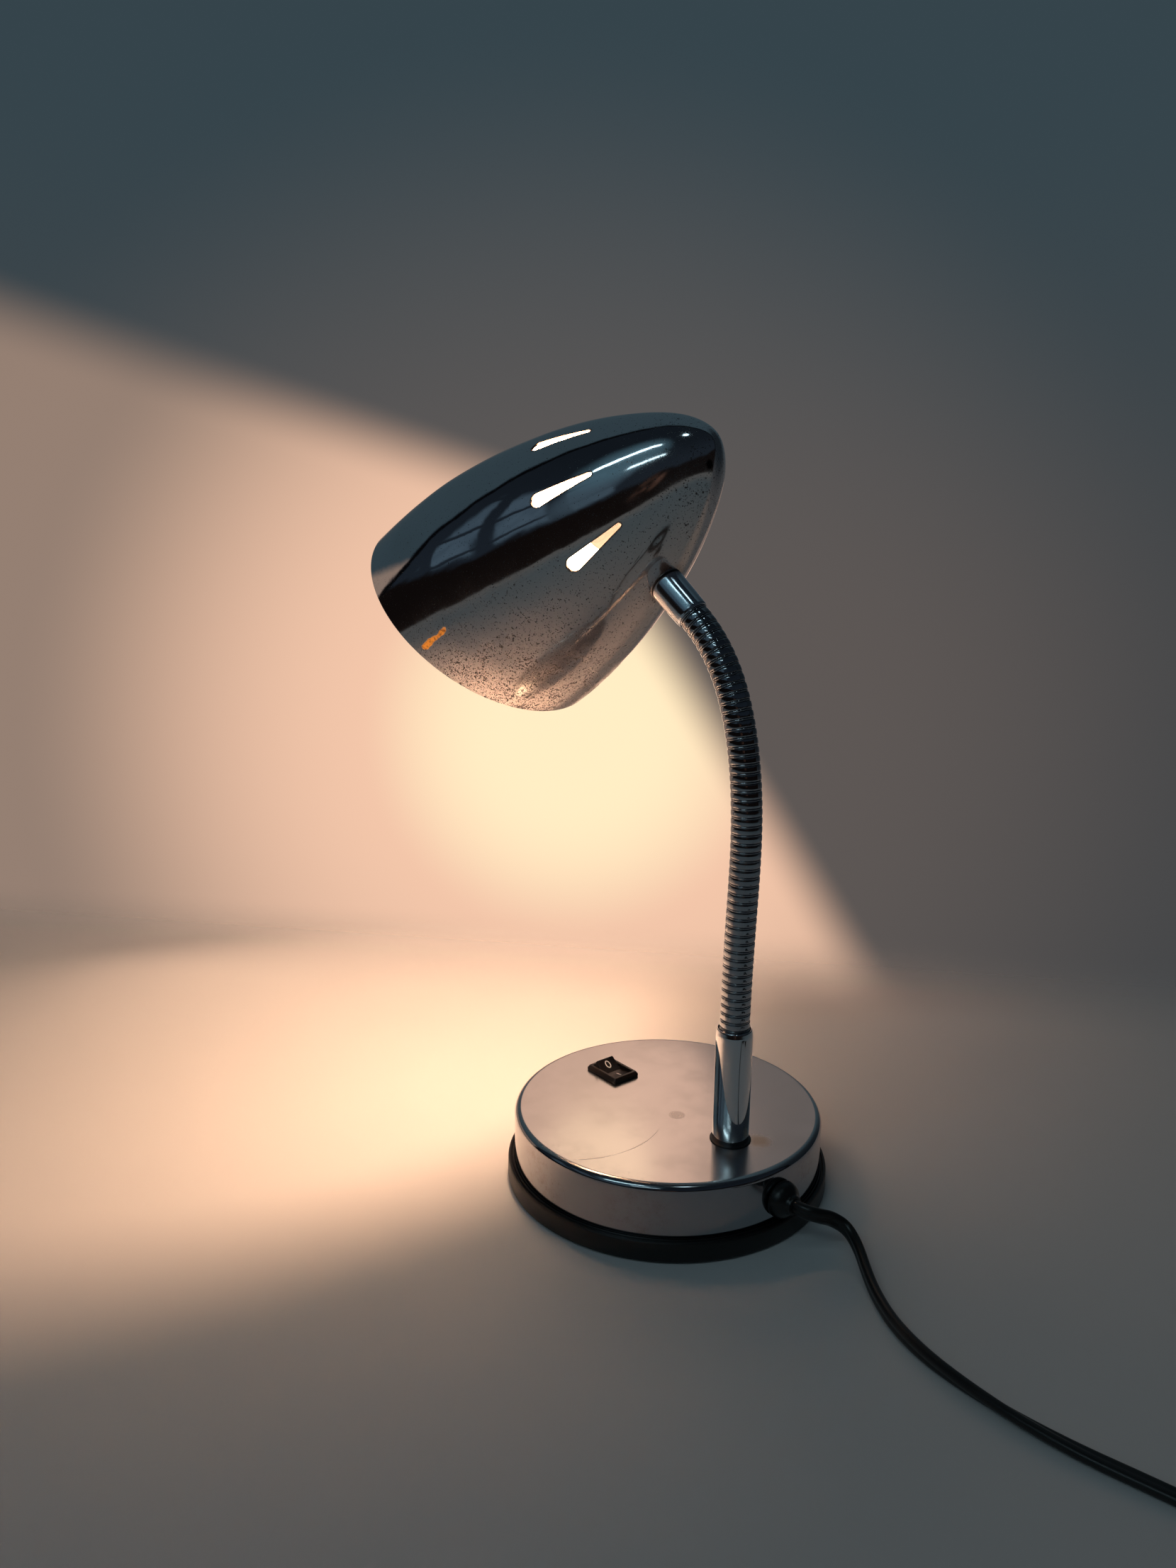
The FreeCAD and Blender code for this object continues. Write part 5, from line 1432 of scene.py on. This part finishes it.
# bulb: lit opal globe
GS, GR = 58.0, 22.5
gs = GS + math.sqrt(GR ** 2 - 12.0 ** 2)
gn = gs + 3.0
gp = [(0.0, GS - GR)]
a1_ = math.degrees(math.acos(12.0 / GR))
for i in range(1, 37):
    a = math.radians(-90 + (a1_ + 90) * i / 36)
    gp.append((GR * math.cos(a), GS + GR * math.sin(a)))
gp += [(10.6, gs + 1.3), (9.2, gs + 3.0), (8.2, gs + 4.6), (7.4, gs + 6.4), (6.9, gs + 8.0), (6.65, gs + 9.4), (6.6, gn + 8.5), (6.6, gn + 11.5), (5.9, gn + 11.5), (5.9, gn + 8.0),
       (6.0, gs + 9.0), (6.9, gs + 6.0), (8.6, gs + 3.4), (11.3, gs)]
for i in range(35, 0, -1):
    a = math.radians(-90 + (a1_ + 90) * i / 36)
    gp.append(((GR - 0.6) * math.cos(a), GS + (GR - 0.6) * math.sin(a)))
gp += [(0.0, GS - GR + 0.6)]
globe = revolve("bulb_glass", gp, 96, M, (X, Y, U), (m_opal,), closed=False, deg=60)
globe.visible_shadow = False
ride(globe, "head", "opal_glass", "bulb_globe")

# -------------------------------------------- other pieces keep their CAD shape
FINISH = {
    "base_pad": m_foam, "base_ballast": m_iron, "base_screws": m_steel, "switch_blades": m_brass, "switch_contact_spring": m_brass,
    "stem_nipple": m_steel, "stem_washer": m_steel, "stem_nut": m_steel, "ferrule_gasket": m_gasket, "head_nipple": m_steel,
    "holder_bracket": m_steel, "head_nuts": m_steel, "lampholder_body": m_holder, "lampholder_screw_shell": m_brass,
    "lampholder_contact": m_brass, "holder_nipple": m_steel, "bulb_stem": m_clear, "bulb_filament": m_steel, "bulb_cap": m_nickel,
    "bulb_insulator": m_gasket, "bulb_contact": m_steel, "head_leads": m_lead, "base_leads": m_lead,
}
for nm, mt in FINISH.items():
    o = NODES[nm]
    if not o.data.materials:
        o.data.materials.append(mt)
    for sl in range(len(o.material_slots)):
        o.material_slots[sl].link = "OBJECT"
        o.material_slots[sl].material = mt
    for p in o.data.polygons:
        p.use_smooth = True
    md = o.modifiers.new("edge", "EDGE_SPLIT")
    md.split_angle = math.radians(32)

# --------------------------------------------------------------------- stage
def stage_floor():
    n = 96
    verts = [(0, 0, -0.15)]
    radii = [100, 220, 400, 700, 1100, 1500]
    for r in radii:
        for i in range(n):
            a = 2 * math.pi * i / n
            verts.append((r * math.cos(a), r * math.sin(a), -0.15))
    faces = [(0, 1 + i, 1 + (i + 1) % n) for i in range(n)]
    for k in range(len(radii) - 1):
        for i in range(n):
            a, b = 1 + k * n + i, 1 + k * n + (i + 1) % n
            faces.append((a, a + n, b + n, b))
    m, nt, out = new_mat("stage_floor")
    g = G(nt)
    p = g.obj()
    weave = g.noise(900.0, 2.0, 0.5).outputs["Fac"]
    big = g.noise(4.0, 3.0, 0.5).outputs["Fac"]
    col = g.mix(g.math("MULTIPLY", big, 0.5), (0.67, 0.67, 0.66), (0.63, 0.63, 0.62))
    bs = g.n("ShaderNodeBsdfPrincipled")
    g.link(col, bs.inputs["Base Color"])
    bs.inputs["Roughness"].default_value = 0.75
    bs.inputs["Specular IOR Level"].default_value = 0.25
    g.link(g.bump(weave, 0.25, 0.06 * MM), bs.inputs["Normal"])
    tr = g.n("ShaderNodeBsdfTransparent")
    far = g.math("SUBTRACT", 1.0, g.ramp(g.dot(p, (-0.745, -0.668, 0.0)), 0.18, 0.34))
    rad = g.math("SUBTRACT", 1.0, g.ramp(g.dist(p, (0.0, 0.0, 0.0)), 0.75, 1.25))
    mx = g.n("ShaderNodeMixShader")
    g.link(g.math("MULTIPLY", far, rad), mx.inputs[0])
    g.link(tr.outputs[0], mx.inputs[1])
    g.link(bs.outputs[0], mx.inputs[2])
    g.link(mx.outputs[0], out.inputs["Surface"])
    ob = mesh_obj("stage_floor", verts, faces, (m,))
    return ob


floor = stage_floor()


# --------------------------------------------------------------------- light
def world():
    w = bpy.data.worlds.new("studio")
    scene.world = w
    w.use_nodes = True
    nt = w.node_tree
    nt.nodes.clear()
    g = G(nt)
    out = nt.nodes.new("ShaderNodeOutputWorld")
    bg = nt.nodes.new("ShaderNodeBackground")
    nt.links.new(bg.outputs[0], out.inputs[0])
    d = g.n("ShaderNodeTexCoord").outputs["Generated"]
    d = g.vmath("NORMALIZE", d).outputs[0]
    sep = g.n("ShaderNodeSeparateXYZ")
    g.link(d, sep.inputs[0])
    z = sep.outputs[2]

    def dirv(az, el):
        a, e = math.radians(az), math.radians(el)
        return (math.cos(e) * math.cos(a), math.cos(e) * math.sin(a), math.sin(e))

    def lobe(az, el, inner, outer):
        """1 inside inner degrees of a direction, 0 past outer."""
        c = g.dot(d, dirv(az, el))
        return g.ramp(c, math.cos(math.radians(outer)), math.cos(math.radians(inner)))

    def streak(a, b, w_in, w_out):
        """Bright line along a great circle between two directions."""
        a, b = np.array(a, float), np.array(b, float)
        a /= np.linalg.norm(a)
        b /= np.linalg.norm(b)
        nn = np.cross(a, b)
        nn /= np.linalg.norm(nn)
        mid = a + b
        mid /= np.linalg.norm(mid)
        half = math.acos(float(np.clip(a @ mid, -1, 1)))
        off = g.math("ABSOLUTE", g.dot(d, tuple(nn)))
        line_ = g.math("SUBTRACT", 1.0, g.ramp(off, math.sin(math.radians(w_in)), math.sin(math.radians(w_out))))
        ends = g.ramp(g.dot(d, tuple(mid)), math.cos(half + math.radians(1.5)), math.cos(half))
        return g.math("MULTIPLY", line_, ends)

    def picdir(u, v):
        """Direction seen at a place of the 1500 by 2000 picture."""
        k = 1559.7
        return np.array((cf + cr * ((u - 750) / k) - cu * ((v - 1000) / k)).normalized())

    def half(a, b, inside, soft):
        """1 on the inner side of the great circle through two places of the picture."""
        n = np.cross(picdir(*a), picdir(*b))
        n /= np.linalg.norm(n)
        if n @ picdir(*inside) < 0:
            n = -n
        w_ = math.sin(math.radians(soft))
        return g.ramp(g.dot(d, tuple(n)), -w_, w_)

    wob = g.noise(2.6, 3.0, 0.55, vec=d).outputs["Fac"]
    wob2 = g.noise(7.0, 3.0, 0.6, vec=d).outputs["Fac"]
    wobs = g.math("ADD", g.math("MULTIPLY", g.math("SUBTRACT", wob, 0.5), 0.10), g.math("MULTIPLY", g.math("SUBTRACT", wob2, 0.5), 0.05))
    t = g.math("ADD", g.dot(d, (-0.745, -0.668, 0.0)), wobs)
    # far side, beyond the lamp: a slate wall, lit warm low down where the lamp shines on it
    farness = g.ramp(t, 0.135, 0.185)
    wall = g.mix(g.ramp(z, -0.15, 0.30), (0.060, 0.062, 0.065), (0.036, 0.058, 0.071))
    fan = g.math("MULTIPLY", half((0, 395), (560, 590), (300, 900), 1.7), half((830, 800), (1110, 1265), (500, 1100), 1.5))
    core = g.dot(d, tuple(picdir(730, 930)))
    rad1 = g.ramp(core, math.cos(math.radians(24.5)), math.cos(math.radians(5.5)))
    rad2 = g.ramp(core, math.cos(math.radians(10)), math.cos(math.radians(2.5)))
    glowc = g.mix(rad1, (0.30, 0.215, 0.17), (0.92, 0.58, 0.41))
    glowc = g.mix(rad2, glowc, (1.05, 0.86, 0.56))
    haze_ = g.math("MULTIPLY", g.ramp(core, math.cos(math.radians(30)), math.cos(math.radians(6))), 0.10)
    wall = g.mix(haze_, wall, (0.60, 0.42, 0.33))
    # what lies directly behind the lamp stays plain in every view: the slate wall, the lamp's warm glow on it and the
    # floor colour below
    backdrop = g.mix(g.math("MULTIPLY", fan, g.ramp(core, math.cos(math.radians(46)), math.cos(math.radians(27)))), wall, glowc)
    backdrop = g.mix(g.math("SUBTRACT", 1.0, g.ramp(z, -0.50, -0.36)), backdrop, (0.085, 0.085, 0.083))
    wall = g.mix(lobe(162, 18, 14, 44), wall, (0.010, 0.014, 0.018))
    wallc = g.mix(fan, wall, glowc)
    # near side: a dim room with a window's panes, brown-black at the horizon
    az_ = g.math("ARCTAN2", sep.outputs[1], sep.outputs[0])
    nearc = g.mix(g.ramp(z, 0.2, 0.9), (0.012, 0.017, 0.024), (0.007, 0.010, 0.014))
    pane = g.math("FRACT", g.math("ADD", g.math("MULTIPLY", g.math("ADD", az_, g.math("MULTIPLY", z, 0.9)), 2.4), 0.15))
    pane = g.math("MULTIPLY", g.ramp(pane, 0.08, 0.16), g.math("SUBTRACT", 1.0, g.ramp(pane, 0.74, 0.86)))
    cross = g.math("FRACT", g.math("ADD", g.math("MULTIPLY", g.math("SUBTRACT", z, g.math("MULTIPLY", az_, 0.12)), 5.2), 0.55))
    cross = g.ramp(cross, 0.10, 0.20)
    wreg = g.math("MULTIPLY", g.ramp(az_, -0.80, -0.70), g.math("SUBTRACT", 1.0, g.ramp(g.math("ADD", az_, wobs), 0.40, 0.52)))
    wreg = g.math("MULTIPLY", wreg, g.math("MULTIPLY", g.ramp(g.math("ADD", z, wobs), 0.19, 0.25), g.math("SUBTRACT", 1.0, g.ramp(g.math("ADD", z, wobs), 0.55, 0.63))))
    win = g.math("MULTIPLY", wreg, g.math("MULTIPLY", pane, cross))
    winc = g.mix(wob2, (0.030, 0.048, 0.066), (0.075, 0.115, 0.150))
    nearc = g.mix(win, nearc, winc)
    nearc = g.mix(g.math("MULTIPLY", lobe(12, 24, 6, 17), 0.85), nearc, (0.050, 0.080, 0.105))
    hz = g.math("SUBTRACT", 1.0, g.ramp(g.math("ADD", z, g.math("MULTIPLY", wobs, 1.6)), 0.15, 0.21))
    nearc = g.mix(hz, nearc, (0.0050, 0.0035, 0.0032))
    nearc = g.mix(g.math("MULTIPLY", lobe(47, 3, 3, 9), g.ramp(wob2, 0.38, 0.62)), nearc, (0.085, 0.045, 0.032))
    nearc = g.mix(lobe(-49, -1, 0.8, 2.2), nearc, (0.07, 0.05, 0.045))
    # the table goes on to about 1.2 m on this side, and ends in a crisp edge
    tbl = g.math("SUBTRACT", 1.0, g.ramp(g.math("ADD", z, g.math("MULTIPLY", wobs, 0.25)), -0.226, -0.214))
    nearc = g.mix(tbl, nearc, (0.082, 0.084, 0.082))
    # thin ceiling lights and the bluish bloom round them
    s1 = streak((0.758, -0.01, 0.652), (0.534, 0.283, 0.797), 0.7, 1.6)
    s2 = streak((0.784, 0.328, 0.527), (0.619, 0.551, 0.56), 0.5, 1.2)
    s3 = lobe(70, 68, 1.6, 3.4)
    bloom = lobe(16, 44, 4, 24)
    nearc = g.mix(g.math("MULTIPLY", bloom, 0.75), nearc, (0.075, 0.150, 0.190))
    col = g.mix(farness, nearc, wallc)
    # thin black line between the room and the wall
    blk = g.math("SUBTRACT", 1.0, g.ramp(g.math("ABSOLUTE", g.math("SUBTRACT", t, 0.125)), 0.012, 0.040))
    blk = g.math("MULTIPLY", blk, g.ramp(z, 0.0, 0.2))
    col = g.mix(blk, col, (0.0015, 0.0015, 0.002))
    # straight down: pale floor carried on past its edge
    col = g.mix(g.math("SUBTRACT", 1.0, g.ramp(z, -0.46, -0.36)), col, (0.115, 0.100, 0.090))
    sadd = g.math("ADD", g.math("ADD", g.math("MULTIPLY", s1, 6.0), g.math("MULTIPLY", s2, 4.0)), g.math("MULTIPLY", s3, 4.0))
    sc = g.n("ShaderNodeVectorMath", operation="SCALE")
    sc.inputs[0].default_value = (0.66, 0.92, 1.0)
    g.link(sadd, sc.inputs["Scale"])
    fin = g.vmath("ADD", col, sc.outputs[0]).outputs[0]
    cam_ray = g.n("ShaderNodeLightPath").outputs["Is Camera Ray"]
    g.link(g.mix(cam_ray, fin, backdrop), bg.inputs["Color"])
    bg.inputs["Strength"].default_value = 1.0
    w.cycles.sampling_method = "AUTOMATIC"
    return w


world()


def area(name, loc, target, size, power, color, shape="DISK", size_y=None):
    ld = bpy.data.lights.new(name, "AREA")
    ld.shape = shape
    ld.size = size
    if size_y:
        ld.size_y = size_y
    ld.energy = power
    ld.color = color
    ob = bpy.data.objects.new(name, ld)
    scene.collection.objects.link(ob)
    ob.location = loc
    dv = Vector(target) - Vector(loc)
    ob.rotation_euler = dv.to_track_quat("-Z", "Y").to_euler()
    return ob


key = area("soft_key", (0.9, 0.7, 1.5), (0, 0, 0.1), 1.2, 1.0, (0.74, 0.90, 1.0))
key.visible_glossy = False
# warm panels beyond the lamp, seen as the sheen on the base's top
panel = area("warm_panel", (-0.175, -0.262, 0.225), (0.0, 0.0, 0.034), 0.20, 0.068, (1.0, 0.60, 0.42))
panel.visible_camera = False
panel_b = area("warm_panel_b", (-0.285, -0.225, 0.225), (0.0, 0.0, 0.034), 0.20, 0.012, (1.0, 0.64, 0.48))
panel_b.visible_camera = False
spot_p = area("warm_spot", (-0.126, -0.200, 0.212), (0.055, 0.020, 0.034), 0.075, 0.0065, (1.0, 0.78, 0.46))
spot_p.visible_camera = False
# the lit wall's light on the floor in front of it
bounce = area("wall_bounce", (-0.10, -0.31, 0.14), (-0.01, -0.03, 0.0), 0.50, 0.40, (1.0, 0.60, 0.40), "RECTANGLE", 0.22)
bounce.visible_camera = False
bounce.visible_glossy = False
# the lit table's light on the dull underside of the shade
under = area("table_glow", (0.155, -0.135, 0.012), (0.155, -0.135, 0.25), 0.22, 1.5, (1.0, 0.58, 0.40))
under.visible_camera = False
under.visible_glossy = False
# the bulb's own light, leaving by the mouth and the vents
ld = bpy.data.lights.new("bulb_light", "POINT")
ld.energy = 4.8
ld.color = (1.0, 0.58, 0.36)
ld.shadow_soft_size = 0.013
ml = bpy.data.objects.new("bulb_light", ld)
scene.collection.objects.link(ml)
ml.location = tuple(head_pt(0, 0, 49.0) * MM)
ml.visible_glossy = False
ml.visible_camera = False
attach(ml, "head")

scene.view_settings.view_transform = "Standard"
scene.view_settings.look = "None"
scene.view_settings.exposure = 0.0
scene.view_settings.gamma = 1.0
